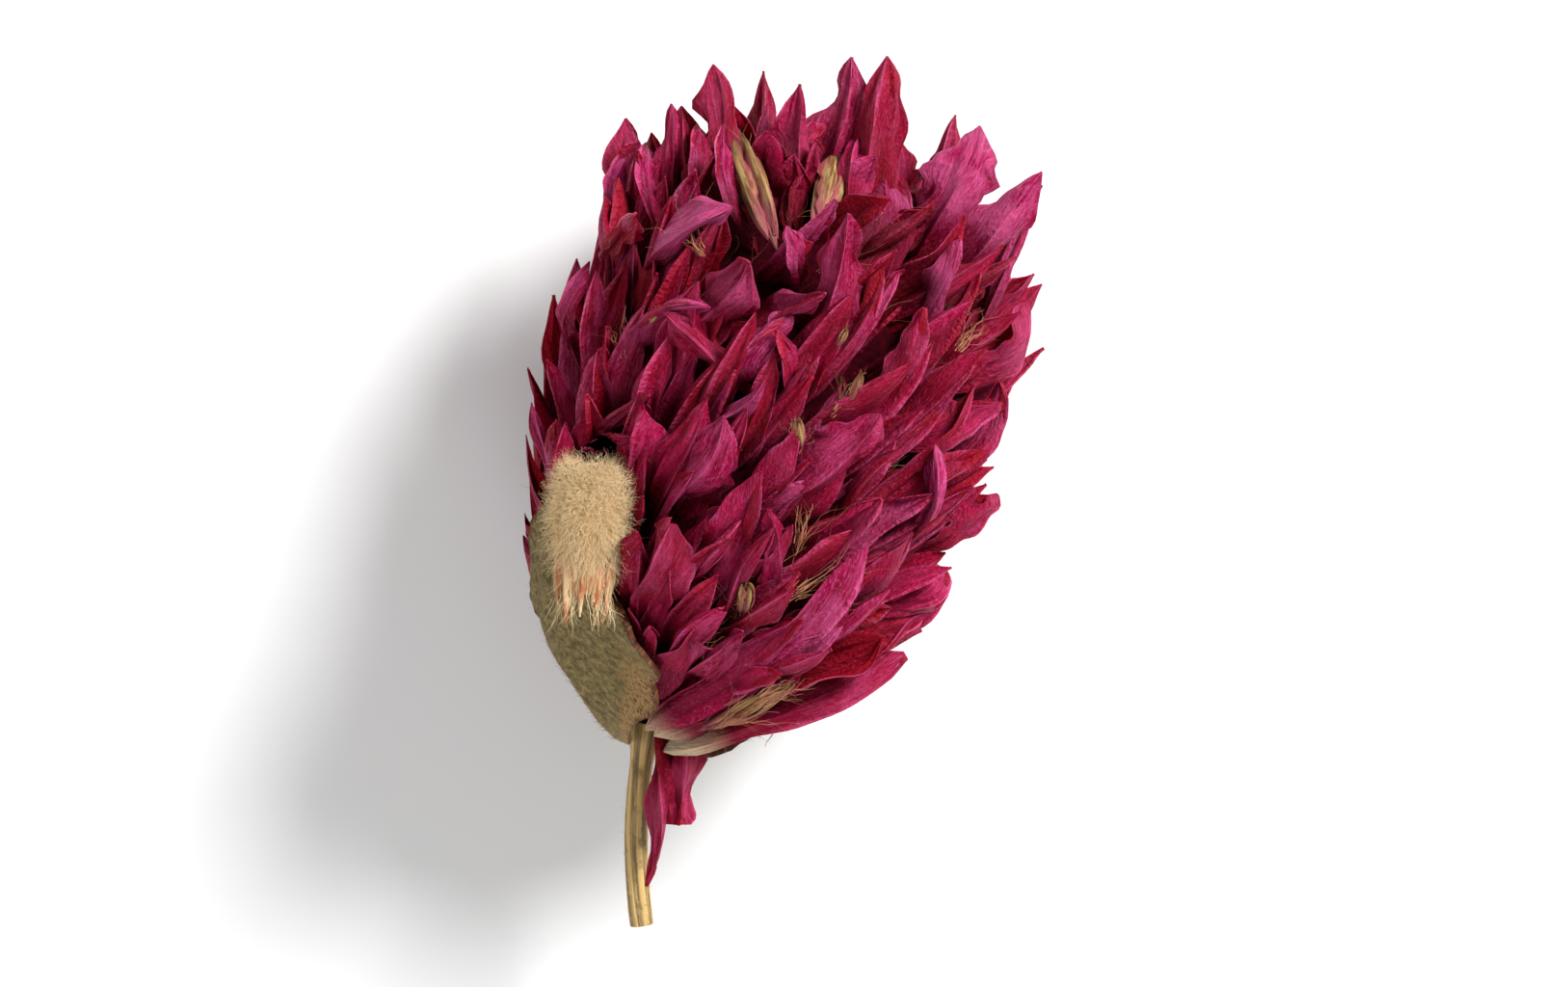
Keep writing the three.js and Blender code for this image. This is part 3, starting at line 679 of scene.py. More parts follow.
def spiral(ahead=0.0):
    """Each floret's number, angle up the egg of tips, share of the way to the crown and turn. Ahead
    moves the turns on along the spiral, to between two florets."""
    for i, angle in enumerate(even_angles(TIPS, FLORETS, LOWEST_TIP)):
        climb = (angle / math.pi - LOWEST_TIP) / (1 - LOWEST_TIP)
        yield i, angle, climb, SPIRAL_START + (i + ahead) * SPIRAL_TURN


def spiral_bracteoles():
    """Where each bracteole of the spiral is rooted, where its tip is and how it is turned."""
    made = []
    for i, angle, climb, turn in spiral():
        crown = max(0, climb - CROWN_FROM) / (1 - CROWN_FROM)
        tip_height, tip_radius = outline(TIPS, angle)
        root_height, root_radius = outline(ROOTS, climb * math.pi)
        for k, half in enumerate((-1, 1)):
            index = 2 * i + k
            radius = tip_radius + STRAY["radius"] * spread(index, 0)
            height = tip_height + (STRAY["height"] + CROWN["stray"] * crown) * spread(index, 1)
            gap = half * PAIR_GAP + STRAY["aside"] * spread(index, 2)
            aside = gap / max(radius, NARROWEST)
            swirl = SWIRL * lerp(1, CROWN["swirl"], crown) * (1 + STRAY["swirl"] * spread(index, 3))
            tip_turn = turn + aside - swirl
            root_turn = turn + aside * PAIR_SPLAY + SLANT + 0.2 * STRAY["root"] * spread(index, 9)
            made.append({
                "index": index,
                "root": head_point(root_height + STRAY["root"] * spread(index, 8), root_radius, root_turn),
                "tip": head_point(height, radius, tip_turn),
                "face": outward(tip_turn) * math.sin(angle) - HEAD_UP * max(0, math.cos(angle)),
                "roll": half * PAIR_ROLL + STRAY["roll"] * spread(index, 4),
                "half_width": HALF_WIDTH * (1 + STRAY["half_width"] * spread(index, 5)),
                "bow": BOW * lerp(1, CROWN["bow"], crown),
                "pale": 0.6 * draw(index, 6) ** 2,
            })
    return made


def small_bracteoles():
    """Small bracteoles between those of the spiral."""
    made = []
    for i, angle, climb, turn in spiral(ahead=0.5):
        height, radius = outline(TIPS, angle)
        height = height - SMALL["lower"] + SMALL["stray"] * spread(i, 11)
        radius = radius - SMALL["deeper"] + SMALL["stray"] * spread(i, 12)
        tip_turn = turn - SWIRL + SMALL["aside"] * spread(i, 10)
        made.append({
            "index": FIRST["small"] + i,
            "root": head_point(*outline(ROOTS, climb * math.pi), turn + SLANT),
            "tip": head_point(height, radius, tip_turn),
            "face": outward(tip_turn),
            "roll": SMALL["roll"] * spread(i, 13),
            "half_width": SMALL["half_width"],
            "bow": SMALL["bow"],
            "pale": 0.7 * draw(i, 14) ** 2,
        })
    return made


def front_bracteoles():
    """The bracteoles on the side that faces up, set on the egg of tips from where they show."""
    made = []
    for i, (start, end, half_width, pale, own) in enumerate(FRONT_BRACTEOLES):
        start, end = np.array(start), np.array(end)
        settings = {**FRONT["shared"], **own}
        raised = settings.pop("raised")
        root = on_front(start - FRONT["hidden"] * (end - start), FRONT["root_depth"] - 2 * raised)
        tip = on_front(end, FRONT["stray"] * spread(i, 7) - FRONT["lift"] - raised)
        made.append({
            "index": FIRST["front"] + i,
            "root": root,
            "tip": tip,
            "face": away_from_axis(tip),
            "roll": FRONT["roll"] * spread(i, 4),
            "half_width": half_width,
            "hook": FRONT["hook"] * spread(i, 15),
            "pale": pale,
            **settings,
        })
    return made


def bracteoles_standing_out():
    """The bracteoles at the crown, along the head's foot and beside the stem."""
    made = []
    for group, shared in STANDING_OUT:
        for root, tip, half_width, own in group:
            index = FIRST["standing_out"] + len(made)
            made.append({
                "index": index,
                "root": root,
                "tip": tip,
                "roll": 0.2 * spread(index, 4),
                "half_width": half_width,
                **shared,
                **own,
            })
    return made


def makes_room(root, tip):
    """Whether a bracteole is missing, for the loose floret, the leafy bract or an open perianth."""
    ends = np.array([tip, lerp(root, tip, 0.75)])
    upper = ends[:, 2] > UPPER_SIDE
    if upper[0] and distance_seen(ends, WOOL_FOOT, WOOL_TOP)[0] < CLEAR_OF_WOOL:
        return True
    height, _, turn = in_head(ends[:1])
    low, high = CLEAR_OF_LEAF["turns"]
    if height[0] < CLEAR_OF_LEAF["height"] and low < turn[0] - LEAF_TURN < high:
        return True
    for start, end, radius, _ in PERIANTHS:
        near = distance_seen(ends, start, end) < CLEAR_OF_PERIANTHS
        if radius >= CLEARING_RADIUS and np.any(upper & near):
            return True
    return False


def kept(bracteoles):
    """Those of some bracteoles that aren't missing."""
    return [one for one in bracteoles if not makes_room(one["root"], one["tip"])]


def head_bracteoles(material):
    """The head's bracteoles, in pieces by where they grow."""
    grown = kept(spiral_bracteoles())
    third = len(grown) // 3
    for name, some in (
        ("bracteoles_low", grown[:third]),
        ("bracteoles_middle", grown[third : 2 * third]),
        ("bracteoles_high", grown[2 * third :]),
        ("bracteoles_front", front_bracteoles()),
        ("bracteoles_between", kept(small_bracteoles())),
        ("bracteoles_standing_out", bracteoles_standing_out()),
    ):
        bundle = Bundle()
        for settings in some:
            bracteole(bundle, **settings)
        bundle.make(name, material, "bracteoles", "flower_head")


def receptacle(material):
    """The core that the florets grow on, seen only in the gaps between them; its near-black red is painted
    shade for those gaps.
    """
    bundle = Bundle()
    heights, radii = np.transpose([outline(CORE, angle) for angle in np.linspace(0.02, math.pi - 0.02, 40)])
    axes = (HEAD_RIGHT, HEAD_UP)
    revolved(bundle, axes, HEAD_BASE, heights, 0.97 * radii, sides=60, index=1, rough=0.02)
    bundle.make("receptacle", material, "bracteoles", "flower_head")


def perianth(bundle, fibres, index, root, tip, radius, face):
    """A straw perianth: a slender body in a cup of tepals, with woolly fibres at their tips."""
    line = tip - root
    side = unit(np.cross(line, face))
    front = unit(np.cross(side, line))
    share = np.linspace(0.02, 0.98, 26)
    swell = 0.75 * radius * np.sin(math.pi * share**0.8) ** 1.1
    heights = share * np.linalg.norm(line)
    revolved(bundle, (side, unit(line)), root, heights, swell, sides=28, index=index, rough=0.16)
    for k in range(TEPALS):
        turn = math.tau * (k + 0.4 * draw(index, 40 + k)) / TEPALS
        off = side * math.cos(turn) + front * math.sin(turn)
        splay = 0.5 + 0.7 * draw(index, 50 + k)
        end = root + line * (1 - 0.15 * draw(index, 60 + k)) + off * radius * splay
        bracteole(
            bundle, 10 * index + k, root + off * radius * 0.3, end, off,
            roll=0.3 * spread(index, 70 + k), half_width=radius * 1.05, bow=radius,
            widest=0.6, blunt=0.12, foot=0.12, **SMALL_BLADE,
        )
    rng = np.random.default_rng(index)
    count = 6 * FILAMENTS_EACH
    roots = root + line * rng.uniform(0.3, 0.95, (count, 1)) + 0.4 * radius * rng.normal(size=(count, 3))
    ways = unit(line) + 0.25 * rng.normal(size=(count, 3))
    lengths = radius * rng.uniform(1.0, 3.0, count)
    hairs(fibres, roots, ways, lengths, RADIUS["perianth_fibre"], seed=index, curl=0.04)


def tufts(fibres):
    """Tufts of filaments in the hollows of the upper side."""
    rng = np.random.default_rng(71)
    for i, (start, end, radius, sunk) in enumerate(TUFTS):
        root = on_front(start, sunk[0])
        line = on_front(end, sunk[1] + 0.5) - root
        aside = radius * rng.normal(size=(TUFT_FILAMENTS, 3))
        roots = root + 0.5 * aside + line * rng.uniform(0, 0.2, (TUFT_FILAMENTS, 1))
        ways = line + 0.8 * aside
        lengths = np.linalg.norm(line) * rng.uniform(0.5, 1.1, TUFT_FILAMENTS)
        seed = FIRST["tufts"] + i
        hairs(fibres, roots, ways, lengths, RADIUS["tuft"], seed, bend=0.7, curl=0.2, steps=6)


def filaments(fibres):
    """A few filaments in every floret of the spiral."""
    roots, ways = np.zeros((2, FLORETS * FILAMENTS_EACH, 3))
    for i, angle, _, turn in spiral():
        height, radius = outline(TIPS, angle)
        turn = turn - SWIRL
        for n in range(FILAMENTS_EACH * i, FILAMENTS_EACH * (i + 1)):
            roots[n] = head_point(height - 2.6, radius - 3.0, turn + 0.15 + 0.1 * spread(n, 80))
            end_radius = radius - 1.9 + 0.8 * spread(n, 81)
            ways[n] = head_point(height - 0.9, end_radius, turn + 0.1 * spread(n, 82)) - roots[n]
    lengths = np.linalg.norm(ways, axis=1)
    hairs(fibres, roots, ways, lengths, RADIUS["filament"], seed=900, curl=0.12, steps=6)


def perianths(straw_material, fibre_material):
    """The perianths that show on the upper side, and the filaments in the hollows and florets."""
    bundle, fibres = Bundle(), Bundle()
    for i, (start, end, radius, sunk) in enumerate(PERIANTHS):
        root, tip = on_front(start, sunk[0]), on_front(end, sunk[1])
        perianth(bundle, fibres, FIRST["perianths"] + i, root, tip, radius, away_from_axis(tip))
    bundle.make("open_perianths", straw_material, "bracteoles", "flower_head")
    roots, ways, lengths = (np.array(values) for values in zip(*LOOSE_STRAWS))
    hairs(fibres, roots, ways, lengths, RADIUS["loose_straw"], seed=950, bend=0.25, curl=0.1, steps=8)
    tufts(fibres)
    filaments(fibres)
    fibres.make("perianth_fibres", fibre_material, "bracteoles", "flower_head")


def leaf_bract(name, node, middle_turn, phase, material, hair_material):
    """A broad leafy bract clasping the head's foot, with its veins, a wavy rim and lying hairs."""
    rows, columns = 56, 57
    outer, inner, grain, place = np.zeros((4, rows, columns, 3))
    for i in range(rows):
        along = i / (rows - 1)
        share = lerp(LEAF["foot"], LEAF["tip"], along)
        radius = outline(TIPS, share * math.pi)[1]
        shape = math.sin(math.pi * (0.03 + 0.95 * along) ** 0.8) ** 0.8
        shape = shape * lerp(0.4, 1, smoothstep(0, 0.35, along))
        clasp = smoothstep(0.3, 0, along) * (0.5 * HEAD_RIGHT - LEAF_CLASP * HEAD_UP)
        free = smoothstep(0, 0.3, along)
        for j in range(columns):
            across = 2 * j / (columns - 1) - 1
            turn = LEAF["half_width"] * shape / radius * across
            turn = turn * (1 + 0.03 * math.sin(31 * along + 2 * across + phase))
            if across < 0:
                turn = turn * (1 + 0.3 * smoothstep(0.3, 0.6, along) * smoothstep(1, 0.75, along))
            wave = LEAF["wave"] * along * math.sin(5 * (turn + along) + phase)
            rib = LEAF["rib"] * max(0, 1 - abs(across) * 4)
            vein = math.cos(math.tau * (7 * along - 2.4 * abs(across))) ** 6
            crease = 0.08 * waves(phase + 60, along * 9, across * 5, 1.2)
            rim = 0.25 * abs(across) ** 6 * math.sin(19 * along + 3 * across + phase)
            rim = rim + 0.5 * max(0, -across - 0.75) / 0.25 * math.sin(math.pi * along)
            lift = (wave + rib + LEAF_VEIN * vein + crease + rim) * free - LEAF_SINK * along
            depth = LEAF_EDGE + 0.2 * (1 - abs(across))
            outer[i, j] = egg_point(TIPS, share * math.pi, middle_turn + turn, lift) + clasp
            inner[i, j] = egg_point(TIPS, share * math.pi, middle_turn + turn, lift - depth) + clasp
            grain[i, j] = (turn * radius, share * LEAF_GRAIN, phase)
            place[i, j] = (along, across, vein)
    bundle = Bundle()
    faces = sheet_faces(rows, columns)
    bundle.add(np.stack([outer, inner]), faces, np.stack([grain, grain]), np.stack([place, place]))
    bundle.make(name, material, "leaf_bracts", node)
    rng = np.random.default_rng(phase + 8)
    at, across_at = rng.integers(1, rows - 1, LEAF_HAIRS), rng.integers(0, columns, LEAF_HAIRS)
    ups = unit(outer[at + 1, across_at] - outer[at - 1, across_at])
    ways = ups + 0.5 * normals_of(outer)[at, across_at] + 0.5 * rng.normal(size=(LEAF_HAIRS, 3))
    coat = Bundle()
    lengths = rng.uniform(0.2, 0.4, LEAF_HAIRS)
    hairs(coat, outer[at, across_at], ways, lengths, RADIUS["leaf_hair"], seed=phase + 9)
    coat.make(name + "_hairs", hair_material, "leaf_bracts", node)


def stem(material, hair_material):
    """The cut stem: ribbed, a little bent, with a few short hairs."""
    rings, sides = 48, 60
    share = np.linspace(0, 1, rings)[:, None]
    middle = 2 * STEM_POINTS[1] - (STEM_POINTS[0] + STEM_POINTS[2]) / 2
    point, along = bezier(STEM_POINTS[0], middle, STEM_POINTS[2], share)
    side = unit(np.cross(HEAD_FRONT, along))
    back = np.cross(along, side)
    turns = np.arange(sides) / sides * math.tau
    flare = np.clip((share - 0.8) / 0.2, 0, 1)
    twisted = turns + 0.5 * share
    ribs = 0.07 * np.abs(np.cos(3 * twisted)) ** 3 + 0.02 * np.cos(17 * twisted)
    dents = 0.03 * waves(4, share * 6, np.cos(turns), 1.5)
    radius = lerp(STEM_RADIUS, STEM_TOP_RADIUS, flare) * (0.93 + ribs + dents)
    across = side[:, None] * np.cos(turns)[:, None] + back[:, None] * np.sin(turns)[:, None]
    grid = point[:, None] + across * radius[..., None]
    bundle = Bundle()
    bundle.add(
        grid,
        tube_faces(rings, sides),
        triples(turns * STEM_RADIUS, share * STEM_GRAIN, 0),
        triples(share, (ribs + 0.02) / 0.09, 0),
    )
    bundle.make("cut_stem", material, "stem", "stem")
    rng = np.random.default_rng(17)
    at, round_at = rng.integers(1, rings, STEM_HAIRS), rng.integers(0, sides, STEM_HAIRS)
    ways = across[at, round_at] * 0.5 + along[at] + 0.4 * rng.normal(size=(STEM_HAIRS, 3))
    lengths = rng.uniform(0.15, 0.35, STEM_HAIRS)
    coat = Bundle()
    hairs(coat, grid[at, round_at], ways, lengths, RADIUS["stem_hair"], seed=18)
    coat.make("stem_hairs", hair_material, "stem", "stem")


def woolly_floret(body_material, hair_material, straw_material, speck_material):
    """The loose floret: a perianth in its wool, foot down, with straw points and dark specks."""
    length = np.linalg.norm(WOOL_TOP - WOOL_FOOT)
    up = unit(WOOL_TOP - WOOL_FOOT)
    side = unit(np.cross(up, HEAD_FRONT))
    front = np.cross(side, up)

    def radius_at(share):
        return WOOL_RADIUS * (0.54 + 0.46 * share) * (1 - np.abs(2 * share - 1) ** 2.6) ** (1 / 2.4)

    def off_line(turns, flat=1):
        return side * np.cos(turns)[:, None] + front * flat * np.sin(turns)[:, None]

    bundle = Bundle()
    share = 0.5 - 0.5 * np.cos(np.linspace(0.05, math.pi - 0.05, 40))
    radii = 0.93 * radius_at(share)
    revolved(bundle, (side, up), WOOL_FOOT, share * length, radii, sides=64, index=5, rough=0.08)
    bundle.make("wool_body", body_material, "wool", "woolly_floret")

    rng = np.random.default_rng(29)
    coat = Bundle()
    share = 0.3 + 0.68 * rng.uniform(0, 1, WOOL_HAIRS) ** 0.8
    off = off_line(rng.uniform(-0.25 * math.pi, 1.25 * math.pi, WOOL_HAIRS))
    roots = WOOL_FOOT + up * (share * length)[:, None] + off * (0.9 * radius_at(share))[:, None]
    fluffy = smoothstep(0.35, 0.75, share)[:, None]
    lying = -up + 0.22 * off + 0.2 * rng.normal(size=(WOOL_HAIRS, 3))
    standing = 0.8 * off + up * (1.6 * share[:, None] - 1) + 0.55 * rng.normal(size=(WOOL_HAIRS, 3))
    ways = lerp(unit(lying), unit(standing), fluffy)
    lengths = lerp(1.3, 0.8, fluffy[:, 0]) * rng.uniform(0.5, 1.2, WOOL_HAIRS)
    curled = {"bend": 0.5, "curl": 0.16, "coils": 1.6, "steps": 5}
    hairs(coat, roots, ways, lengths, RADIUS["wool_hair"], seed=30, **curled)
    off = off_line(rng.uniform(0, math.pi, FOOT_HAIRS), WOOL_FLATNESS)
    roots = WOOL_FOOT + up * rng.uniform(-0.6, 1.6, (FOOT_HAIRS, 1)) + off * 1.2
    ways = 0.15 * off - up + 0.25 * rng.normal(size=(FOOT_HAIRS, 3))
    lengths = rng.uniform(0.7, 1.5, FOOT_HAIRS)
    hairs(coat, roots, ways, lengths, RADIUS["foot_hair"], seed=32, curl=0.05)
    coat.make("wool_hairs", hair_material, "wool", "woolly_floret")

    points = Bundle()
    for i in range(WOOL_POINTS):
        turn = math.pi * (0.02 + 0.96 * (i + 0.5) / WOOL_POINTS)
        off = side * math.cos(turn) + front * WOOL_FLATNESS * math.sin(turn)
        root = WOOL_FOOT + up * (2.4 + 0.4 * spread(i, 30)) + off * 1.15
        tip = WOOL_FOOT - up * (0.7 + 0.8 * spread(i, 31)) + off * (1.1 + 0.3 * spread(i, 32))
        bracteole(
            points, FIRST["wool_points"] + i, root, tip, off,
            roll=0.3 * spread(i, 33), half_width=0.21, bow=0.2, widest=0.35, **SMALL_BLADE,
        )
    points.make("wool_points", straw_material, "wool", "woolly_floret")

    specks = Bundle()
    share = 1 - 0.5 * rng.uniform(0, 1, WOOL_SPECKS) ** 2
    off = off_line(
        np.where(share > 0.85, rng.uniform(0, math.pi, WOOL_SPECKS), rng.uniform(-0.1, 0.5, WOOL_SPECKS))
    )
    roots = WOOL_FOOT + up * (share * length)[:, None]
    roots = roots + off * (radius_at(share) + rng.uniform(0.1, 0.45, WOOL_SPECKS))[:, None]
    ways = rng.normal(size=(WOOL_SPECKS, 3))
    lengths = rng.uniform(0.08, 0.16, WOOL_SPECKS)
    hairs(specks, roots, ways, lengths, RADIUS["speck"], seed=31, steps=2)
    specks.make("wool_specks", speck_material, "wool", "woolly_floret")


def srgb(red, green, blue):
    """A colour given in screen values from 0 to 255, as Blender's linear colour."""
    shares = (red / 255, green / 255, blue / 255)
    return (*(c / 12.92 if c <= 0.04 else ((c + 0.055) / 1.055) ** 2.4 for c in shares), 1)


# PINK is laid on as pale fibres and as painted highlights; CRIMSON and PLUM as the blades' own darker tones
# and as painted shade.
CREAM = (242, 214, 176)
CRIMSON = (150, 0, 22)
MAGENTA = (172, 0, 66)
VIOLET = (164, 2, 88)
PINK = (210, 86, 140)
PLUM = (104, 0, 14)


class Finish:
    """A material's nodes, made by short calls that give their output sockets."""

    def __init__(self, name):
        self.material = bpy.data.materials.new(name)
        self.material.use_nodes = True
        self.tree = self.material.node_tree
        self.shader = self.tree.nodes["Principled BSDF"]

    def node(self, kind, inputs, **settings):
        """A new node with some settings, its inputs fed by their numbers or names."""
        made = self.tree.nodes.new(kind)
        for key, value in settings.items():
            setattr(made, key, value)
        for key, value in inputs.items():
            self.feed(made.inputs[key], value)
        return made

    def feed(self, socket, value):
        if isinstance(value, bpy.types.NodeSocket):
            self.tree.links.new(value, socket)
        else:
            socket.default_value = value

    def attribute(self, name):
        return self.node("ShaderNodeAttribute", {}, attribute_name=name).outputs["Vector"]

    def parts(self, vector):
        return tuple(self.node("ShaderNodeSeparateXYZ", {0: vector}).outputs)

    def noise(self, grain, scale, detail=3, roughness=0.55):
        """Noise over grain, with a scale for each of its parts."""
        scaled = self.node("ShaderNodeVectorMath", {0: grain, 1: scale}, operation="MULTIPLY").outputs[0]
        inputs = {"Vector": scaled, "Scale": 1, "Detail": detail, "Roughness": roughness}
        return self.node("ShaderNodeTexNoise", inputs).outputs["Fac"]

    def math(self, operation, a, b=0):
        return self.node("ShaderNodeMath", {0: a, 1: b}, operation=operation).outputs[0]

    def times(self, first, *others):
        for other in others:
            first = self.math("MULTIPLY", first, other)
        return first

    def ranged(self, value, low, high, to_low=0, to_high=1):
        """A value's smooth step from to_low at low to to_high at high; low may be the larger."""
        inputs = dict(enumerate((value, low, high, to_low, to_high)))
        return self.node("ShaderNodeMapRange", inputs, interpolation_type="SMOOTHSTEP").outputs[0]

    def layers(self, base, rows):
        """A base colour with others laid over it. Each row is a colour and its share, or a colour, a
        value, where that value starts and ends to let it through, and the share that it then has."""
        colour = srgb(*base)
        for over, value, *step in rows:
            share = self.ranged(value, step[0], step[1], 0, step[2]) if step else value
            inputs = {0: share, 6: colour, 7: srgb(*over)}
            colour = self.node("ShaderNodeMix", inputs, data_type="RGBA").outputs[2]
        return colour

    def bump(self, height, distance, strength=1):
        inputs = {"Strength": strength, "Distance": distance * MM, "Height": height}
        self.feed(self.shader.inputs["Normal"], self.node("ShaderNodeBump", inputs).outputs[0])

    def done(self, colour, roughness, **uniform):
        self.feed(self.shader.inputs["Base Color"], colour)
        self.feed(self.shader.inputs["Roughness"], roughness)
        for label, value in uniform.items():
            self.shader.inputs[label.replace("_", " ")].default_value = value
        return self.material


def papery():
    """Bracteoles: cream feet, magenta blades with fine pale lengthwise fibres, painted pink highlights, and
    painted crimson and plum shade inside, low and deep.
    """
    finish = Finish("papery_magenta")
    noise, ranged, times = finish.noise, finish.ranged, finish.times
    grain = finish.attribute("grain")
    along, edge, inner = finish.parts(finish.attribute("place"))
    pale, cream, depth = finish.parts(finish.attribute("tone"))
    own = noise(grain, (0, 0, 7.3), detail=0)
    streaks = noise(grain, (11, 0.55, 3.1), detail=4, roughness=0.7)
    blotches = noise(grain, (0.8, 0.5, 5.7), detail=2)
    # Broad patches of painted satin sheen, laid on as pink mid-blade and at the rims.
    sheen_patches = noise(grain, (0.9, 0.45, 9.1), detail=2)
    # Fine cells: a bump, and pale pink specks that are partly painted glints.
    cells_and_glints = noise(grain, (16, 4, 1.7))
    # Pale pink mid-blade: partly real lengthwise fibres and partly a painted satin highlight.
    fibres = times(
        finish.math("ADD", ranged(streaks, 0.47, 0.64), ranged(sheen_patches, 0.4, 0.62)),
        0.65,
        ranged(along, 0.35, 0.6),
        ranged(pale, 0, 1, 0.12, 0.95),
        ranged(edge, 0.5, 1, 1, 0.6),
    )
    colour = finish.layers(MAGENTA, [
        (CRIMSON, own, 0.35, 0.65, 0.8),
        (CRIMSON, blotches, 0.5, 0.72, 0.6),
        (VIOLET, pale, 0.15, 0.9, 0.6),
        (PLUM, streaks, 0.5, 0.34, 0.75),
        # pale fibres and painted satin highlight mid-blade
        (PINK, fibres),
        # pale pink specks on the cells, partly painted glints
        (PINK, times(ranged(cells_and_glints, 0.52, 0.66), ranged(pale, 0, 0.8, 0.1, 0.6))),
        # pale rims: partly the papery margins' own colour and partly painted rim light
        (PINK, times(ranged(edge, 0.88, 1), ranged(sheen_patches, 0.4, 0.6, 0, 0.6))),
        # painted highlight line along the keel
        (PINK, times(ranged(edge, 0.1, 0, 0, 0.6), ranged(along, 0.35, 0.55), ranged(streaks, 0.35, 0.6))),
        # crimson painted shade and red glow on the inner faces
        (CRIMSON, times(inner, 0.75)),
        # plum painted shade towards each blade's lower part, where it lies under others
        (PLUM, along, 0.75, 0.3, 0.4),
        # plum painted shade deeper in the head
        (PLUM, depth, 0.1, 0.6, 0.75),
        (CREAM, finish.math("SUBTRACT", times(cream, 0.5), along), -0.14, 0.08, 1),
    ])
    finish.bump(finish.math("ADD", streaks, times(cells_and_glints, 0.6)), 0.32)
    return finish.done(
        colour,
        ranged(streaks, 0.3, 0.7, 0.6, 0.42),
        Subsurface_Weight=0.15,
        Specular_IOR_Level=0.16,
        Subsurface_Scale=0.4 * MM,
    )


def plain(name, colour, dark, roughness, scale, gloss=0.3, contrast=0.2):
    """A dull finish that wanders between two colours, with a scale for each part of the grain."""
    finish = Finish(name)
    mottle = finish.noise(finish.attribute("grain"), scale, detail=4, roughness=0.65)
    finish.bump(mottle, 0.06, 0.8)
    blend = finish.layers(colour, [(dark, mottle, 0.5 - contrast, 0.5 + contrast, 1)])
    return finish.done(blend, roughness, Specular_IOR_Level=gloss)


def strawy():
    """Perianths: olive straw with brown lengthwise lines, pink at the rims and the foot."""
    finish = Finish("straw_perianth")
    along, edge, _ = finish.parts(finish.attribute("place"))
    lines = finish.noise(finish.attribute("grain"), (7, 0.5, 3), detail=4, roughness=0.7)
    colour = finish.layers((172, 148, 92), [
        ((122, 76, 50), lines, 0.4, 0.58, 1),
        ((158, 56, 84), edge, 0.3, 1, 0.75),
        ((150, 74, 86), along, 0.6, 0.2, 0.8),
        ((110, 76, 46), along, 0.75, 1, 0.75),
    ])
    finish.bump(lines, 0.1)
    return finish.done(colour, 0.8, Specular_IOR_Level=0.15)


def leafy():
    """Leafy bracts: dull olive mottled with tan, paler veins, a straw fold and a red-brown rim."""
    finish = Finish("dull_olive_leaf")
    times = finish.times
    grain = finish.attribute("grain")
    along, across, vein = finish.parts(finish.attribute("place"))
    mottle = finish.noise(grain, (2.6, 2.2, 3), detail=6, roughness=0.75)
    specks = finish.noise(grain, (7, 6, 5), roughness=0.6)
    fold = times(finish.ranged(across, -0.6, -0.78), finish.ranged(along, 0.6, 0.4))
    rim = finish.math("ADD", finish.math("ABSOLUTE", across), times(specks, 0.3))
    colour = finish.layers((76, 68, 38), [
        ((146, 126, 82), mottle, 0.36, 0.64, 1),
        ((78, 60, 38), specks, 0.5, 0.66, 0.6),
        ((150, 132, 90), times(vein, 0.3)),
        ((164, 136, 86), times(fold, 0.7)),
        ((120, 48, 34), times(fold, finish.ranged(specks, 0.5, 0.6))),
        ((84, 34, 26), rim, 1.06, 1.16, 0.85),
        ((158, 134, 92), finish.ranged(along, 0, 0.14, 0.8, 0)),
    ])
    finish.bump(finish.math("ADD", mottle, times(specks, 0.5)), 0.08, 0.9)
    return finish.done(colour, 0.8, Specular_IOR_Level=0.2)


def ribbed_stem():
    """The stem: olive straw with brown blotches, between golden ribs."""
    finish = Finish("ribbed_straw_stem")
    grain = finish.attribute("grain")
    _, rib, _ = finish.parts(finish.attribute("place"))
    fibres = finish.noise(grain, (9, 0.5, 3), detail=4, roughness=0.6)
    blotches = finish.noise(grain, (1.2, 0.8, 3))
    colour = finish.layers((116, 92, 50), [
        ((170, 140, 88), fibres, 0.4, 0.6, 1),
        ((218, 182, 112), rib, 0.35, 0.85, 0.85),
        ((96, 78, 44), blotches, 0.52, 0.66, 0.6),
    ])
    finish.bump(fibres, 0.05, 0.9)
    return finish.done(colour, 0.65)


def lamp(name, place, size, power):
    """A round area light at a place, turned to the flower."""
    light = bpy.data.lights.new(name, "AREA")
    light.shape = "DISK"
    light.size = size * MM
    light.energy = power
    made = put(name, light)
    made.location = [part * MM for part in place]
    made.rotation_mode = "QUATERNION"
    made.rotation_quaternion = Vector(np.subtract(LIT_SPOT, place).tolist()).to_track_quat("-Z", "Y")


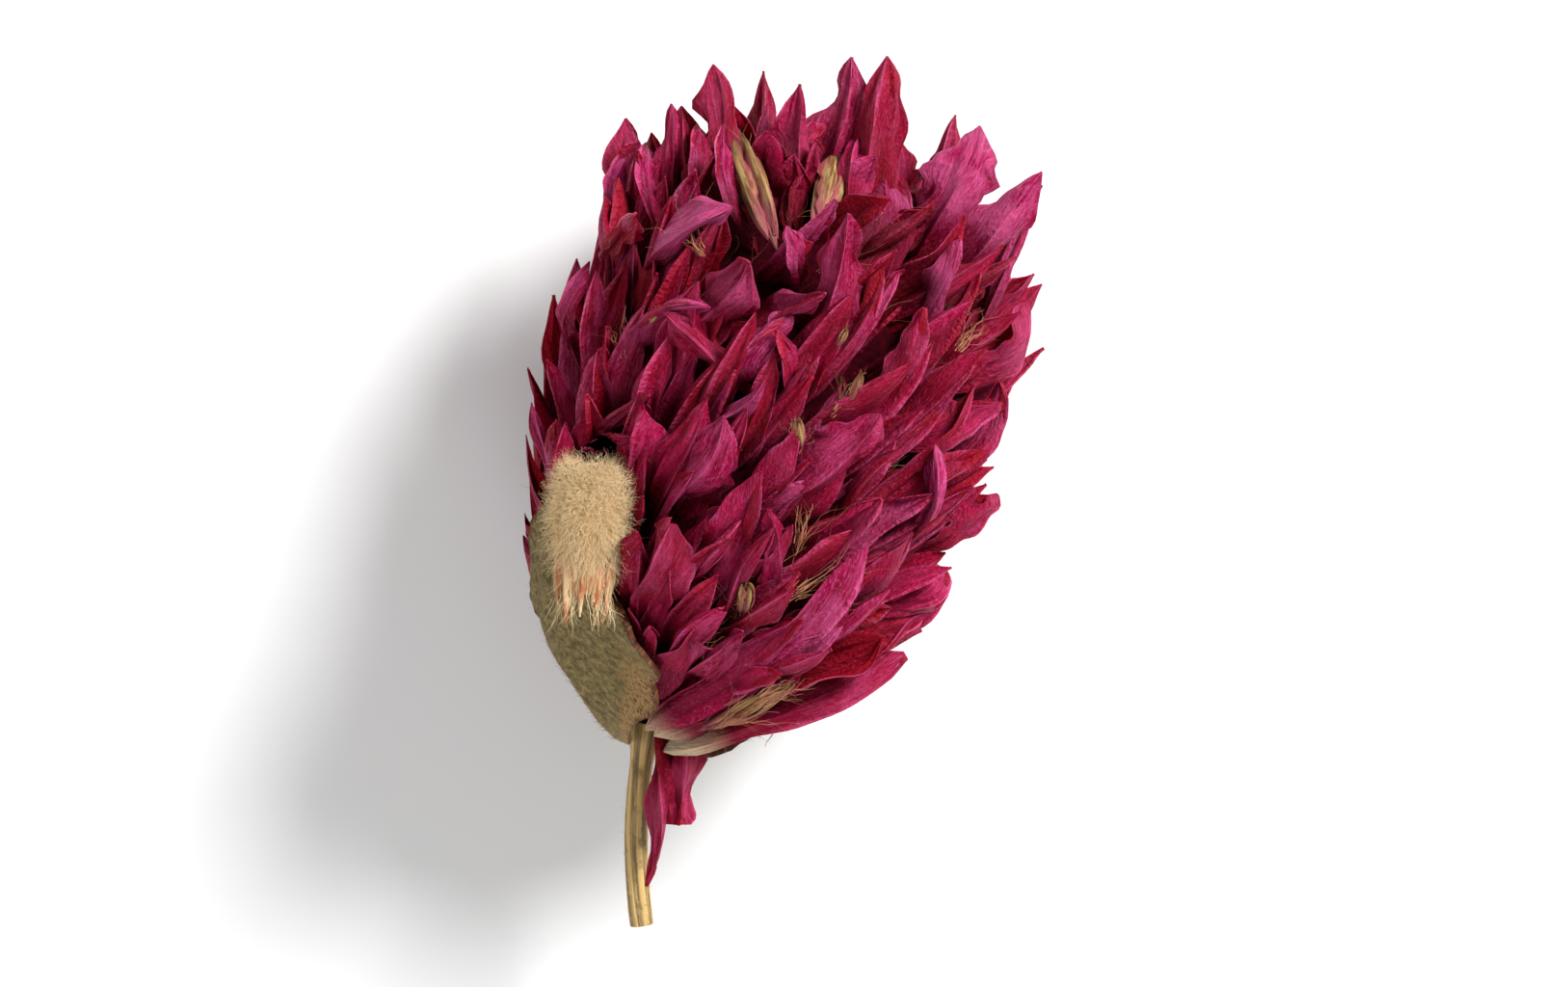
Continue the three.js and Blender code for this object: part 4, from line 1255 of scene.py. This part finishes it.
def studio():
    """A pale floor, a dim white world and three lamps."""
    floor_mesh = bpy.data.meshes.new("floor")
    low, high = -FLOOR_REACH, FLOOR_REACH
    corners = [(low, low, 0), (high, low, 0), (high, high, 0), (low, high, 0)]
    floor_mesh.from_pydata(corners, [], [(0, 1, 2, 3)])
    floor_mesh.materials.append(Finish("pale_floor").done(srgb(246, 246, 246), roughness=0.9))
    put("floor", floor_mesh)

    world = bpy.data.worlds.new("studio")
    world.use_nodes = True
    background = world.node_tree.nodes["Background"]
    background.inputs["Color"].default_value = (1, 1, 1, 1)
    background.inputs["Strength"].default_value = WORLD_STRENGTH
    bpy.context.scene.world = world
    for name, place, size, power in LAMPS:
        lamp(name, place, size, power)
    bpy.context.scene.view_settings.view_transform = "Standard"


def camera():
    """Looks straight down on the flower, as the photograph does."""
    data = bpy.data.cameras.new("camera")
    made = put("camera", data)
    data.sensor_width = SENSOR_WIDTH
    data.lens = SENSOR_WIDTH * CAMERA_DISTANCE / (VIEW_HEIGHT * PHOTO_SIZE[0] / PHOTO_SIZE[1])
    data.clip_start, data.clip_end = 0.01, 10
    x, y, z = VIEW_MIDDLE
    made.location = (x * MM, y * MM, (z + CAMERA_DISTANCE) * MM)
    bpy.context.scene.camera = made


head_bracteoles(papery())
# The core's near-black red is painted shade for the gaps between the florets.
receptacle(plain("dark_core", (60, 0, 10), (30, 0, 6), roughness=0.9, scale=(3, 3, 3), gloss=0.05))
fibre_material = plain("tan_fibres", (186, 134, 98), (136, 66, 46), roughness=0.6, scale=(1, 1, 3))
perianths(strawy(), fibre_material)
leaf_material = leafy()
leaf_hair_material = plain("leaf_hairs", (164, 144, 102), (128, 108, 70), roughness=0.8, scale=(1, 1, 3))
leaf_bract("leafy_bract", "leaf_bract", LEAF_TURN, 0, leaf_material, leaf_hair_material)
leaf_bract("leafy_bract_under", "leaf_bract_under", UNDER_LEAF_TURN, 2, leaf_material, leaf_hair_material)
stem_hair_material = plain("pale_hairs", (222, 206, 172), (196, 172, 128), roughness=0.6, scale=(1, 1, 3))
stem(ribbed_stem(), stem_hair_material)
woolly_floret(
    plain("wool", (204, 174, 126), (180, 144, 96), roughness=0.9, scale=(4, 2, 3)),
    plain("wool_fibre", (240, 218, 176), (212, 182, 134), roughness=0.7, scale=(1, 1, 3)),
    plain("straw_points", (214, 186, 140), (170, 100, 64), roughness=0.7, scale=(3, 0.5, 3), contrast=0.1),
    plain("dark_speck", (70, 40, 34), (40, 14, 14), roughness=0.8, scale=(3, 3, 3)),
)
studio()
camera()
